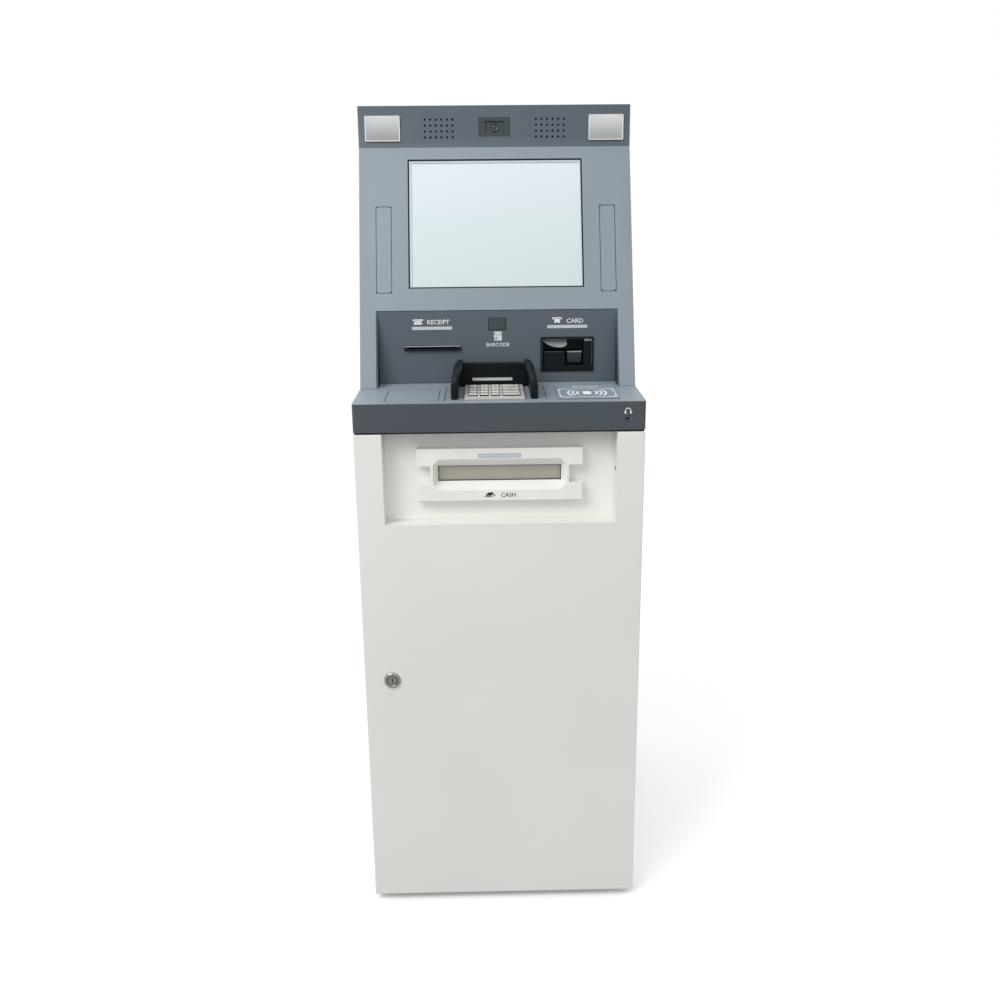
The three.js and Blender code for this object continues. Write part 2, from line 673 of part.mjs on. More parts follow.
// Shutter bezel: two bars with a funnel between them that leads to the slot.
function shutterBezel() {
  const back = RECESS_DEPTH;
  const front = RECESS_DEPTH - BEZEL_PROUD;
  const body = block(both(BEZEL_WIDTH / 2), [front, back], around(SLOT_Z, BEZEL_HEIGHT));
  const notches = SIDES.map((side) => block(
    [side * BEZEL_WAIST / 2, side * BEZEL_WIDTH],
    [front - 1, back + 1],
    around(SLOT_Z, SLOT_HEIGHT + 2 * NOTCH_MARGIN),
  ));
  const slotX = SLOT_WIDTH / 2;
  const slotZ = SLOT_HEIGHT / 2;
  const mouthX = slotX + FUNNEL_SIDE;
  const mouthZ = slotZ + FUNNEL_RISE;
  const ring = (y, x, z, corner) => SIDES.flatMap((a) => SIDES.flatMap((b) => [
    [a * x, y, SLOT_Z + b * (z - corner)],
    [a * (x - corner), y, SLOT_Z + b * z],
  ]));
  const funnel = hull([
    ...ring(front - GAP, mouthX, mouthZ, FUNNEL_CORNER),
    ...ring(back - SHEET, slotX, slotZ, GAP),
  ]);
  const slot = block(both(slotX), [back - SHEET - 1, back + 1], around(SLOT_Z, SLOT_HEIGHT));
  return cut(body, ...notches, funnel, slot);
}

add("shutter_bezel", shutterBezel(), "pale_plastic");

// Safe: a thick box with a jamb that the bolts slide behind, and a note slot in its roof.
const safeHingeFoot = SAFE_FLOOR + SAFE_HINGE_MARGIN;
const safeHingeTop = SAFE_TOP - SAFE_HINGE_MARGIN;
const safeLugs = [
  [safeHingeFoot + SAFE_HINGE_LENGTH + 1, safeHingeFoot + SAFE_HINGE_LENGTH + 1 + SAFE_LUG_LENGTH],
  [safeHingeTop - SAFE_HINGE_LENGTH - 1 - SAFE_LUG_LENGTH, safeHingeTop - SAFE_HINGE_LENGTH - 1],
];
const safeBarrels = [
  [safeHingeFoot, safeHingeFoot + SAFE_HINGE_LENGTH],
  [safeHingeTop - SAFE_HINGE_LENGTH, safeHingeTop],
];

function safeBody() {
  const outer = block(both(SAFE_HALF), [SAFE_FRONT, SAFE_BACK], [SAFE_FLOOR, SAFE_TOP]);
  const inner = block(
    both(SAFE_HALF - SAFE_WALL),
    [SAFE_FRONT + JAMB_THICKNESS, SAFE_BACK - SAFE_WALL],
    [SAFE_FLOOR + SAFE_WALL, SAFE_TOP - SAFE_WALL],
  );
  const doorway = block(
    both(JAMB_HALF),
    [SAFE_FRONT - 1, SAFE_FRONT + JAMB_THICKNESS + 1],
    [SAFE_FLOOR + SAFE_WALL + JAMB_WIDTH, SAFE_TOP - SAFE_WALL - JAMB_WIDTH],
  );
  const noteSlot = block(
    both(NOTE_WIDTH / 2),
    [SAFE_FRONT + NOTE_SLOT_BACK, SAFE_FRONT + NOTE_SLOT_BACK + NOTE_SLOT_DEPTH],
    [SAFE_TOP - SAFE_WALL - 1, SAFE_TOP + 1],
  );
  const lugs = safeLugs.flatMap((level) => [
    rod("z", SAFE_HINGE_RADIUS, level, [SAFE_HALF, SAFE_PIVOT_Y]),
    block(
      [SAFE_HALF - GAP, SAFE_HALF + SAFE_HINGE_RADIUS],
      [SAFE_PIVOT_Y, SAFE_FRONT + SAFE_HINGE_RADIUS * 2],
      level,
    ),
  ]);
  return join(cut(outer, inner, doorway, noteSlot), ...lugs);
}

function safeDoor() {
  const plate = block(both(SAFE_HALF), [SAFE_DOOR_FRONT, SAFE_DOOR_BACK], [SAFE_DOOR_FOOT, SAFE_TOP]);
  const step = block(
    both(STEP_HALF),
    [SAFE_DOOR_BACK - 1, STEP_BACK],
    [SAFE_FLOOR + SAFE_WALL + JAMB_WIDTH + STEP_GAP, SAFE_TOP - SAFE_WALL - JAMB_WIDTH - STEP_GAP],
  );
  const barrels = safeBarrels.map((level) => rod("z", SAFE_HINGE_RADIUS, level, [SAFE_HALF, SAFE_PIVOT_Y]));
  const dial = rod(
    "y",
    DIAL_RADIUS,
    [SAFE_DOOR_FRONT - DIAL_THICKNESS, SAFE_DOOR_FRONT + 1],
    [DIAL_X, DIAL_HEIGHT],
    ROUND_SIDES,
  );
  const notches = safeLugs.map(([low, high]) => block(
    [SAFE_HALF - SAFE_HINGE_RADIUS - 3 * GAP, SAFE_HALF + 1],
    [SAFE_DOOR_FRONT - 1, SAFE_DOOR_BACK + 1],
    [low - 1, high + 1],
  ));
  return join(cut(join(plate, step), ...notches), ...barrels, dial);
}

function safeHandle() {
  const barBack = SAFE_DOOR_FRONT - HANDLE_HUB_LENGTH;
  const barFront = barBack - HANDLE_BAR_THICKNESS;
  const hub = rod("y", HANDLE_HUB_RADIUS, [barFront, SAFE_DOOR_FRONT - GAP], [HANDLE_X, HANDLE_HEIGHT]);
  const bar = block(
    around(HANDLE_X, HANDLE_SPAN - HANDLE_BAR),
    [barFront, barBack],
    around(HANDLE_HEIGHT, HANDLE_BAR),
  );
  const ends = SIDES.map((side) => rod(
    "y",
    HANDLE_BAR / 2,
    [barFront, barBack],
    [HANDLE_X + side * (HANDLE_SPAN - HANDLE_BAR) / 2, HANDLE_HEIGHT],
  ));
  return join(hub, bar, ...ends);
}

function safeBoltBar() {
  const boltTip = -STEP_HALF;
  const front = STEP_BACK + GAP;
  const middle = (SAFE_FLOOR + SAFE_TOP) / 2;
  const barLeft = boltTip + BOLT_LENGTH - BOLT_BAR_WIDTH;
  const bar = block(
    [barLeft, barLeft + BOLT_BAR_WIDTH],
    [front + 1, front + 1 + BOLT_BAR_THICKNESS],
    around(middle, BOLT_BAR_HEIGHT),
  );
  const boltY = Math.max(front, SAFE_FRONT + JAMB_THICKNESS + 1) + BOLT_RADIUS;
  const reach = (BOLT_BAR_HEIGHT - 4 * BOLT_RADIUS) / 2;
  const bolts = Array.from({ length: BOLT_COUNT }, (_, i) => {
    const z = middle + reach * (2 * i / (BOLT_COUNT - 1) - 1);
    return rod("x", BOLT_RADIUS, [boltTip, boltTip + BOLT_LENGTH], [boltY, z], SMALL_SIDES);
  });
  return join(bar, ...bolts);
}

add("safe_body", safeBody(), "safe_paint");
add("safe_door", safeDoor(), "safe_paint");
add("safe_handle", safeHandle(), "chrome");
add("safe_bolt_bar", safeBoltBar(), "zinc_steel");

// Dispenser: an open frame with shelves, two note cassettes, a reject cassette and a transport on top.
const frameBack = CASSETTE_FRONT + CASSETTE_DEPTH + CASSETTE_PLAY;
const bayHeights = [CASSETTE_HEIGHT, CASSETTE_HEIGHT, REJECT_HEIGHT];
const bayPitch = (height) => height + SHELF_SHEET + 2 * CASSETTE_PLAY;
const bayFloors = bayHeights.map((_, i) => {
  const below = bayHeights.slice(0, i).map(bayPitch).reduce((a, b) => a + b, 0);
  return SAFE_FLOOR + SAFE_WALL + GAP + SHELF_SHEET + below;
});
const transportFoot = bayFloors[2] + REJECT_HEIGHT + 2 * CASSETTE_PLAY;

function dispenserFrame() {
  const foot = SAFE_FLOOR + SAFE_WALL + GAP;
  const top = transportFoot + TRANSPORT_HEIGHT;
  const ys = [CASSETTE_FRONT, frameBack + SHELF_SHEET];
  const walls = SIDES.map((side) => {
    const xs = [side * FRAME_HALF, side * (FRAME_HALF - SHELF_SHEET)];
    return block(xs, ys, [foot, top]);
  });
  const shelves = bayFloors.map((floor) => block(both(FRAME_HALF), ys, [floor - SHELF_SHEET, floor]));
  const backPlate = block(both(FRAME_HALF), [frameBack, frameBack + SHELF_SHEET], [foot, top]);
  const transport = block(both(FRAME_HALF), ys, [transportFoot, top]);
  const notePath = block(
    both(NOTE_WIDTH / 2),
    [SAFE_FRONT + NOTE_SLOT_BACK, SAFE_FRONT + NOTE_SLOT_BACK + NOTE_SLOT_DEPTH],
    [top - THROAT_DEPTH, top + 1],
  );
  return cut(join(...walls, ...shelves, backPlate, transport), notePath);
}

function cassette(floor, height) {
  const low = floor + CASSETTE_PLAY;
  const body = block(
    both(CASSETTE_WIDTH / 2),
    [CASSETTE_FRONT, CASSETTE_FRONT + CASSETTE_DEPTH],
    [low, low + height],
  );
  const middle = low + height / 2;
  const pull = block(
    both(PULL_WIDTH / 2),
    [CASSETTE_FRONT - 1, CASSETTE_FRONT + PULL_DEPTH],
    around(middle, PULL_HEIGHT),
  );
  const grip = block(
    both(PULL_WIDTH / 2 + 1),
    [CASSETTE_FRONT + PULL_WALL, CASSETTE_FRONT + PULL_WALL * 2],
    [middle + PULL_HEIGHT / 2 - PULL_WALL, middle + PULL_HEIGHT / 2 + 1],
  );
  return join(cut(body, pull), grip);
}

add("dispenser_frame", dispenserFrame(), "zinc_steel");
add("cassette_1", cassette(bayFloors[0], CASSETTE_HEIGHT), "grey_plastic");
add("cassette_2", cassette(bayFloors[1], CASSETTE_HEIGHT), "grey_plastic");
add("reject_cassette", cassette(bayFloors[2], REJECT_HEIGHT), "black_plastic");

function notePresenter() {
  const front = RAIL_BACK + PRESENTER_FRONT_GAP;
  const body = block(
    both(PRESENTER_WIDTH / 2),
    [front, front + PRESENTER_DEPTH],
    [SAFE_TOP + GAP, SLOT_Z + PRESENTER_ABOVE_SLOT],
  );
  const throat = block(
    both(NOTE_WIDTH / 2),
    [front - 1, front + THROAT_DEPTH],
    around(SLOT_Z, THROAT_HEIGHT),
  );
  const riser = block(
    both(NOTE_WIDTH / 2),
    [SAFE_FRONT + NOTE_SLOT_BACK, SAFE_FRONT + NOTE_SLOT_BACK + NOTE_SLOT_DEPTH],
    [SAFE_TOP, SLOT_Z],
  );
  return cut(body, throat, riser);
}

add("note_presenter", notePresenter(), "zinc_steel");

// Console: a folded tray, open at the back and below, with holes for the keypad and the jack.
function consoleShell() {
  const back = CONSOLE_DEPTH;
  const outline = [
    [0, CONSOLE_BOTTOM],
    [back, CONSOLE_BOTTOM],
    [back, shelfAt(back)],
    [0, CONSOLE_TOP],
  ];
  const hollow = [
    [SHEET, CONSOLE_BOTTOM + SHEET],
    [back + 1, CONSOLE_BOTTOM + SHEET],
    [back + 1, shelfAt(back + 1) - SHEET],
    [SHEET, shelfAt(SHEET) - SHEET],
  ];
  const inner = prism(hollow, "x", both(HALF - SHEET));
  const below = block(
    both(HALF - SHEET),
    [CONSOLE_RETURN, back + 1],
    [CONSOLE_BOTTOM - 1, CONSOLE_BOTTOM + SHEET + 1],
  );
  const well = placed(block(
    around(KEYPAD_X, KEYPAD_WIDTH - 2 * KEYPAD_RIM + 2 * GAP),
    around(KEYPAD_FRONT + KEYPAD_DEPTH / 2, KEYPAD_DEPTH - 2 * KEYPAD_RIM + 2 * GAP),
    both(CONSOLE_FACE / 2),
  ), shelfFrame);
  const jackHole = rod(
    "y",
    JACK_RADIUS + GAP,
    [-1, SHEET + 1],
    [HALF - JACK_INSET, CONSOLE_BOTTOM + JACK_ABOVE],
  );
  return cut(prism(outline, "x", both(HALF)), inner, below, well, jackHole);
}

function headphoneJack() {
  const centre = [HALF - JACK_INSET, CONSOLE_BOTTOM + JACK_ABOVE];
  return cut(
    rod("y", JACK_RADIUS, [0, JACK_LENGTH], centre, SMALL_SIDES),
    rod("y", JACK_BORE, [-1, JACK_DEPTH], centre, SMALL_SIDES),
  );
}

add("console_shell", consoleShell(), "paint_grey");
add("headphone_jack", headphoneJack(), "black_plastic");

// Keypad: a steel plate over a skirt, and sixteen keys that slide in it.
const keyColumns = [0, 1, 2, 3].map((column) => {
  const left = KEYPAD_X - KEYS_WIDTH / 2 + column * (KEY_WIDTH + KEY_GAP_X);
  return [left, left + (column < 3 ? KEY_WIDTH : KEY_WIDE)];
});
const keyRows = [0, 1, 2, 3].map((row) => {
  const back = KEYPAD_FRONT + (KEYPAD_DEPTH + KEYS_DEPTH) / 2 - row * KEY_PITCH_Y;
  return [back - KEY_LENGTH, back];
});
const plateTop = GAP + KEYPAD_THICKNESS;
const wider = ([low, high], by) => [low - by, high + by];

function keypadPlate() {
  const middleY = KEYPAD_FRONT + KEYPAD_DEPTH / 2;
  const plate = block(around(KEYPAD_X, KEYPAD_WIDTH), around(middleY, KEYPAD_DEPTH), [GAP, plateTop]);
  const skirtOuter = block(
    around(KEYPAD_X, KEYPAD_WIDTH - 2 * KEYPAD_RIM),
    around(middleY, KEYPAD_DEPTH - 2 * KEYPAD_RIM),
    [-KEYPAD_SKIRT, plateTop - SHEET],
  );
  const skirtInner = block(
    around(KEYPAD_X, KEYPAD_WIDTH - 2 * KEYPAD_RIM - 2 * SHEET),
    around(middleY, KEYPAD_DEPTH - 2 * KEYPAD_RIM - 2 * SHEET),
    [-KEYPAD_SKIRT - 1, plateTop - SHEET],
  );
  const hole = (xs, ys) => block(
    wider(xs, KEY_CLEARANCE),
    wider(ys, KEY_CLEARANCE),
    [GAP - 1, plateTop + 1],
  );
  const holes = keyRows.flatMap((ys) => keyColumns.map((xs) => hole(xs, ys)));
  return cut(join(plate, skirtOuter), skirtInner, ...holes);
}

function keyCap([left, right], [front, back]) {
  const foot = plateTop - SHEET - KEY_FOOT;
  const shoulder = plateTop + KEY_PROUD / 2;
  const top = plateTop + KEY_PROUD;
  const corners = (inset, z) => {
    const ys = [front + inset, back - inset];
    return [left + inset, right - inset].flatMap((x) => ys.map((y) => [x, y, z]));
  };
  return hull([...corners(0, foot), ...corners(0, shoulder), ...corners(KEY_DRAFT, top)]);
}

add("keypad_plate", keypadPlate(), "brushed_steel", shelfFrame);
KEY_NAMES.forEach((names, row) => names.forEach((name, column) => {
  add("key_" + name, keyCap(keyColumns[column], keyRows[row]), "brushed_steel", shelfFrame);
}));

// Privacy shield: two fins that lean together and a lower back wall.
function privacyShield() {
  const foot = GAP;
  const arc = Array.from({ length: SHIELD_STEPS + 1 }, (_, step) => {
    const turn = (step / SHIELD_STEPS) * (Math.PI / 2);
    return [
      SHIELD_FRONT + SHIELD_ROUND * (1 - Math.cos(turn)),
      SHIELD_HEIGHT - SHIELD_ROUND * (1 - Math.sin(turn)),
    ];
  });
  const outline = [[SHIELD_FRONT, foot], ...arc, [SHIELD_BACK, SHIELD_HEIGHT], [SHIELD_BACK, foot]];
  const outerAt = (z) => THREE.MathUtils.lerp(
    SHIELD_WIDTH,
    SHIELD_TOP_WIDTH,
    (z / SHIELD_HEIGHT) ** 2,
  ) / 2;
  const wallAt = (z) => THREE.MathUtils.lerp(SHIELD_WALL, SHIELD_TOP_WALL, z / SHIELD_HEIGHT);
  const fins = SIDES.map((side) => hull(outline.flatMap(([y, z]) => [
    [KEYPAD_X + side * outerAt(z), y, z],
    [KEYPAD_X + side * (outerAt(z) - wallAt(z)), y, z],
  ])));
  const wall = block(
    around(KEYPAD_X, SHIELD_TOP_WIDTH - SHIELD_TOP_WALL),
    [SHIELD_BACK - SHIELD_BACK_WALL, SHIELD_BACK],
    [foot, SHIELD_BACK_HEIGHT],
  );
  return join(...fins, wall);
}

add("privacy_shield", privacyShield(), "black_plastic", shelfFrame);

add(
  "contactless_pad",
  block(
    around(HALF - PAD_INSET, PAD_WIDTH),
    [PAD_FRONT, PAD_FRONT + PAD_DEPTH],
    [GAP, GAP + PAD_THICKNESS],
  ),
  "grey_plastic",
  shelfFrame,
);

// Head casing: sides, top, back and a flange round its open foot. The fascia covers its front.
const fasciaBack = (FASCIA_SHEET + GAP) / Math.cos(PANEL_SLOPE);
const rearTop = HEAD_TOP - REAR_MARGIN;
const rearFoot = CONSOLE_BOTTOM + REAR_SILL;
const rearHalf = HALF - REAR_MARGIN - SHEET;
const rearPivot = [rearHalf + REAR_LAP - SHEET + GAP, HEAD_BACK + GAP + SHEET + REAR_HINGE_RADIUS - 1];
const rearHinge = Array.from({ length: REAR_HINGE_SEGMENTS }, (_, i) => {
  const low = rearFoot + REAR_HINGE_MARGIN;
  const step = (rearTop - REAR_HINGE_MARGIN - low) / REAR_HINGE_SEGMENTS;
  return [low + i * step + REAR_HINGE_PLAY, low + (i + 1) * step - REAR_HINGE_PLAY];
});

function headCasing() {
  const consoleBack = CONSOLE_DEPTH + SHADOW_GAP;
  const foot = shelfAt(SHELF_DEPTH + fasciaBack) + GAP;
  const outline = [
    [SHELF_DEPTH + fasciaBack, foot],
    [consoleBack, shelfAt(consoleBack) + GAP],
    [consoleBack, CONSOLE_BOTTOM],
    [HEAD_BACK, CONSOLE_BOTTOM],
    [HEAD_BACK, HEAD_TOP],
    [STRIP_FOOT_Y + STRIP_LEAN + FASCIA_SHEET + GAP, HEAD_TOP],
    [STRIP_FOOT_Y + fasciaBack, STRIP_FOOT_Z],
  ];
  const inner = block(
    both(HALF - SHEET),
    [0, HEAD_BACK - SHEET],
    [CONSOLE_BOTTOM + SHEET, HEAD_TOP - SHEET],
  );
  const footHole = block(
    both(HALF - CABLE_FLANGE),
    [0, HEAD_BACK - CABLE_FLANGE],
    [CONSOLE_BOTTOM - 1, CONSOLE_BOTTOM + SHEET + 1],
  );
  const rearway = block(both(rearHalf), [HEAD_BACK - SHEET - 1, HEAD_BACK + 1], [rearFoot, rearTop]);
  const leaves = rearHinge.filter((_, i) => i % 2 === 1).flatMap((level) => [
    rod("z", REAR_HINGE_RADIUS, level, rearPivot),
    block(
      [rearPivot[0], rearPivot[0] + 2 * REAR_HINGE_RADIUS],
      [HEAD_BACK - SHEET / 2, HEAD_BACK + GAP + SHEET],
      level,
    ),
  ]);
  return join(cut(prism(outline, "x", both(HALF)), inner, footHole, rearway), ...leaves);
}

function rearDoor() {
  const front = HEAD_BACK + GAP;
  const plate = block(
    [-(rearHalf + REAR_LAP), rearPivot[0] - REAR_HINGE_RADIUS - GAP],
    [front, front + SHEET],
    [rearFoot - REAR_LAP, rearTop + REAR_LAP],
  );
  const leaves = rearHinge.filter((_, i) => i % 2 === 0).flatMap((level) => [
    rod("z", REAR_HINGE_RADIUS, level, rearPivot),
    block([rearPivot[0] - 3 * REAR_HINGE_RADIUS, rearPivot[0]], [front, front + SHEET], level),
  ]);
  return join(plate, ...leaves);
}

add("head_casing", headCasing(), "paint_grey");
add("rear_door", rearDoor(), "paint_grey");

// Head fascia: one bent sheet with the screen aperture, the blanks' slots and the service recess.
const blankX = (SCREEN_WIDTH / 2 + HALF) / 2; // midway between the screen and the side

function headFascia() {
  const foldBack = FASCIA_SHEET / Math.cos((PANEL_SLOPE + STRIP_SLOPE) / 2);
  const footBack = FASCIA_SHEET / Math.cos(PANEL_SLOPE);
  const sheet = prism([
    [SHELF_DEPTH, PANEL_FOOT + GAP],
    [SHELF_DEPTH + footBack, PANEL_FOOT + GAP],
    [STRIP_FOOT_Y + foldBack, STRIP_FOOT_Z],
    [STRIP_FOOT_Y + STRIP_LEAN + FASCIA_SHEET, HEAD_TOP],
    [STRIP_FOOT_Y + STRIP_LEAN, HEAD_TOP],
    [STRIP_FOOT_Y, STRIP_FOOT_Z],
  ], "x", both(HALF));
  const through = both(2 * FASCIA_SHEET);
  const panelHoles = [
    block(both(SCREEN_WIDTH / 2), through, [SCREEN_FOOT, SCREEN_FOOT + SCREEN_HEIGHT]),
    block(both(SERVICE_HALF), through, [-SERVICE_HEIGHT / 2, SERVICE_HEIGHT]),
    ...SIDES.map((side) => block(
      around(side * blankX, BLANK_WIDTH + 2 * GAP),
      through,
      [BLANK_FOOT - GAP, BLANK_FOOT + BLANK_HEIGHT + GAP],
    )),
  ].map((hole) => placed(hole, panelFrame));
  const cameraHole = placed(
    block(both(CAMERA_WIDTH / 2 + GAP), through, around(CAMERA_CENTRE, CAMERA_HEIGHT + 2 * GAP)),
    stripFrame,
  );
  return cut(sheet, ...panelHoles, cameraHole);
}

add("head_fascia", headFascia(), "paint_grey");

// Screen: glass behind the fascia, and the display module behind the glass.
const glassFront = FASCIA_SHEET + GAP;
const moduleFront = glassFront + GLASS_THICKNESS + GAP;
const screenSpan = [SCREEN_FOOT, SCREEN_FOOT + SCREEN_HEIGHT];
add(
  "display_glass",
  block(
    both(SCREEN_WIDTH / 2 + GLASS_MARGIN),
    [glassFront, glassFront + GLASS_THICKNESS],
    wider(screenSpan, GLASS_MARGIN),
  ),
  "glass",
  panelFrame,
);
add(
  "lcd_module",
  block(
    both(SCREEN_WIDTH / 2 + GLASS_MARGIN + MODULE_MARGIN),
    [moduleFront, moduleFront + MODULE_THICKNESS],
    wider(screenSpan, GLASS_MARGIN + MODULE_MARGIN),
  ),
  "black_plastic",
  panelFrame,
);

// Blanks where function keys could be: a plug in the fascia's slot with a flange behind it.
function keyBlank(side) {
  const plug = block(
    around(side * blankX, BLANK_WIDTH),
    [0, glassFront + 1],
    [BLANK_FOOT, BLANK_FOOT + BLANK_HEIGHT],
  );
  const flange = block(
    around(side * blankX, BLANK_WIDTH + 2 * BLANK_FLANGE),
    [glassFront, glassFront + SHEET],
    [BLANK_FOOT - BLANK_FLANGE, BLANK_FOOT + BLANK_HEIGHT + BLANK_FLANGE],
  );
  return join(plug, flange);
}

add("key_blank_left", keyBlank(-1), "paint_grey", panelFrame);
add("key_blank_right", keyBlank(1), "paint_grey", panelFrame);

// Mirrors and camera on the strip.
function mirror(side) {
  return block(
    around(side * (HALF - MIRROR_INSET), MIRROR_WIDTH),
    [-GAP - MIRROR_THICKNESS, -GAP],
    around(MIRROR_CENTRE, MIRROR_HEIGHT),
  );
}

function cameraModule() {
  const body = block(both(CAMERA_WIDTH / 2), [0, CAMERA_BODY], around(CAMERA_CENTRE, CAMERA_HEIGHT));
  const window = block(
    both(CAMERA_WINDOW_WIDTH / 2),
    [-1, CAMERA_WINDOW_DEPTH],
    around(CAMERA_CENTRE, CAMERA_WINDOW_HEIGHT),
  );
  const lens = rod("y", LENS_RADIUS, [1, CAMERA_WINDOW_DEPTH + 1], [0, CAMERA_CENTRE]);
  return join(cut(body, window), lens);
}

add("mirror_left", mirror(-1), "mirror", stripFrame);
add("mirror_right", mirror(1), "mirror", stripFrame);
add("camera_module", cameraModule(), "black_plastic", stripFrame);

// Service panel: an upright plate behind the recess, with cheeks that close its ends.
const serviceFront = SERVICE_BACK;
const serviceBack = SERVICE_BACK + SHEET;
const cardHole = around(CARD_X, CARD_WIDTH - 2 * CARD_RIM + 2 * GAP);
const receiptThroat = RECEIPT_SLOT + 2 * SHEET;

function servicePanel() {
  const half = SERVICE_HALF - GAP;
  const plate = block(
    both(half),
    [serviceFront, serviceBack],
    [shelfAt(serviceBack) + GAP, SERVICE_TOP - 2 * GAP],
  );
  const cheekFoot = [SHELF_DEPTH + 1, serviceBack];
  const cheek = [
    [cheekFoot[0], shelfAt(cheekFoot[0]) + GAP],
    [cheekFoot[1], shelfAt(cheekFoot[1]) + GAP],
    [serviceBack, SERVICE_TOP - 2 * GAP],
    [panelAt(SERVICE_TOP - 2 * GAP), SERVICE_TOP - 2 * GAP],
  ];
  const cheeks = SIDES.map((side) => prism(cheek, "x", [side * half, side * (half - SHEET)]));
  const through = [serviceFront - 1, serviceBack + 1];
  const receiptHole = block(
    around(RECEIPT_X, RECEIPT_SLOT_WIDTH + 2 * SHEET + 2 * GAP),
    through,
    around(RECEIPT_Z, receiptThroat + 2 * GAP),
  );
  const scannerHole = block(
    around(0, SCANNER_WIDTH + 2 * GAP),
    through,
    around(SCANNER_Z, SCANNER_HEIGHT + 2 * GAP),
  );
  const readerHole = block(
    cardHole,
    through,
    around(CARD_Z, CARD_HEIGHT - 2 * CARD_RIM + 2 * GAP),
  );
  return cut(join(plate, ...cheeks), receiptHole, scannerHole, readerHole);
}

add("service_panel", servicePanel(), "paint_dark");

// Receipt: a lip with a slot, the printer behind it and a paper roll on the printer's spindle.
function receiptBezel() {
  const lip = block(
    around(RECEIPT_X, RECEIPT_WIDTH),
    [serviceFront - RECEIPT_PROUD, serviceFront - GAP],
    around(RECEIPT_Z, RECEIPT_LIP),
  );
  const throat = block(
    around(RECEIPT_X, RECEIPT_SLOT_WIDTH + 2 * SHEET),
    [serviceFront - 1, serviceFront + RECEIPT_THROAT],
    around(RECEIPT_Z, receiptThroat),
  );
  const slot = block(
    around(RECEIPT_X, RECEIPT_SLOT_WIDTH),
    [serviceFront - RECEIPT_PROUD - 1, serviceFront + RECEIPT_THROAT + 1],
    around(RECEIPT_Z, RECEIPT_SLOT),
  );
  return cut(join(lip, throat), slot);
}

const printerFront = serviceFront + RECEIPT_THROAT + SHEET;
const printerFoot = RECEIPT_Z - PRINTER_DROP;
const rollCentre = [
  printerFront + PRINTER_DEPTH + SHEET + ROLL_RADIUS + ROLL_BEHIND,
  printerFoot + ROLL_RADIUS + ROLL_ABOVE,
];

function receiptPrinter() {
  const body = block(
    around(RECEIPT_X, PRINTER_WIDTH),
    [printerFront, printerFront + PRINTER_DEPTH],
    [printerFoot, printerFoot + PRINTER_HEIGHT],
  );
  const slot = block(
    around(RECEIPT_X, RECEIPT_SLOT_WIDTH),
    [printerFront - 1, printerFront + RECEIPT_THROAT],
    around(RECEIPT_Z, RECEIPT_SLOT),
  );
  const cradle = SIDES.map((side) => {
    const outer = RECEIPT_X + side * PRINTER_WIDTH / 2;
    return block(
      [outer, outer - side * CRADLE_WALL],
      [printerFront + PRINTER_DEPTH - 1, rollCentre[0] + SPINDLE_RADIUS * 2],
      [printerFoot, rollCentre[1] + SPINDLE_RADIUS * 2],
    );
  });
  const spindle = rod(
    "x",
    SPINDLE_RADIUS,
    around(RECEIPT_X, PRINTER_WIDTH - CRADLE_WALL),
    rollCentre,
    SMALL_SIDES,
  );
  return join(cut(body, slot), ...cradle, spindle);
}

function paperRoll() {
  return cut(
    rod("x", ROLL_RADIUS, around(RECEIPT_X, ROLL_WIDTH), rollCentre, ROUND_SIDES),
    rod("x", ROLL_BORE, around(RECEIPT_X, ROLL_WIDTH + 2), rollCentre, SMALL_SIDES),
  );
}

add("receipt_bezel", receiptBezel(), "grey_plastic");
add("receipt_printer", receiptPrinter(), "black_plastic");
add("paper_roll", paperRoll(), "paper");

// Barcode scanner: its window fills the panel's hole, with the body behind.
function barcodeScanner() {
  const window = block(
    around(0, SCANNER_WIDTH),
    [serviceFront - 1, serviceBack + 2],
    around(SCANNER_Z, SCANNER_HEIGHT),
  );
  const body = block(
    around(0, SCANNER_WIDTH + SCANNER_BODY_MARGIN),
    [serviceBack + GAP, serviceBack + SCANNER_DEPTH],
    around(SCANNER_Z - SCANNER_BODY_MARGIN / 2, SCANNER_HEIGHT + SCANNER_BODY_MARGIN),
  );
  return join(window, body);
}

add("barcode_scanner", barcodeScanner(), "black_plastic");

// Card bezel: a moulded box with a hood over the slot's left half, a sill under it and a side guide.
const cardFront = serviceFront - CARD_PROUD;
const cardSlotZ = CARD_Z + CARD_SLOT_ABOVE;
const cardSlotX = CARD_X + CARD_SLOT_X;

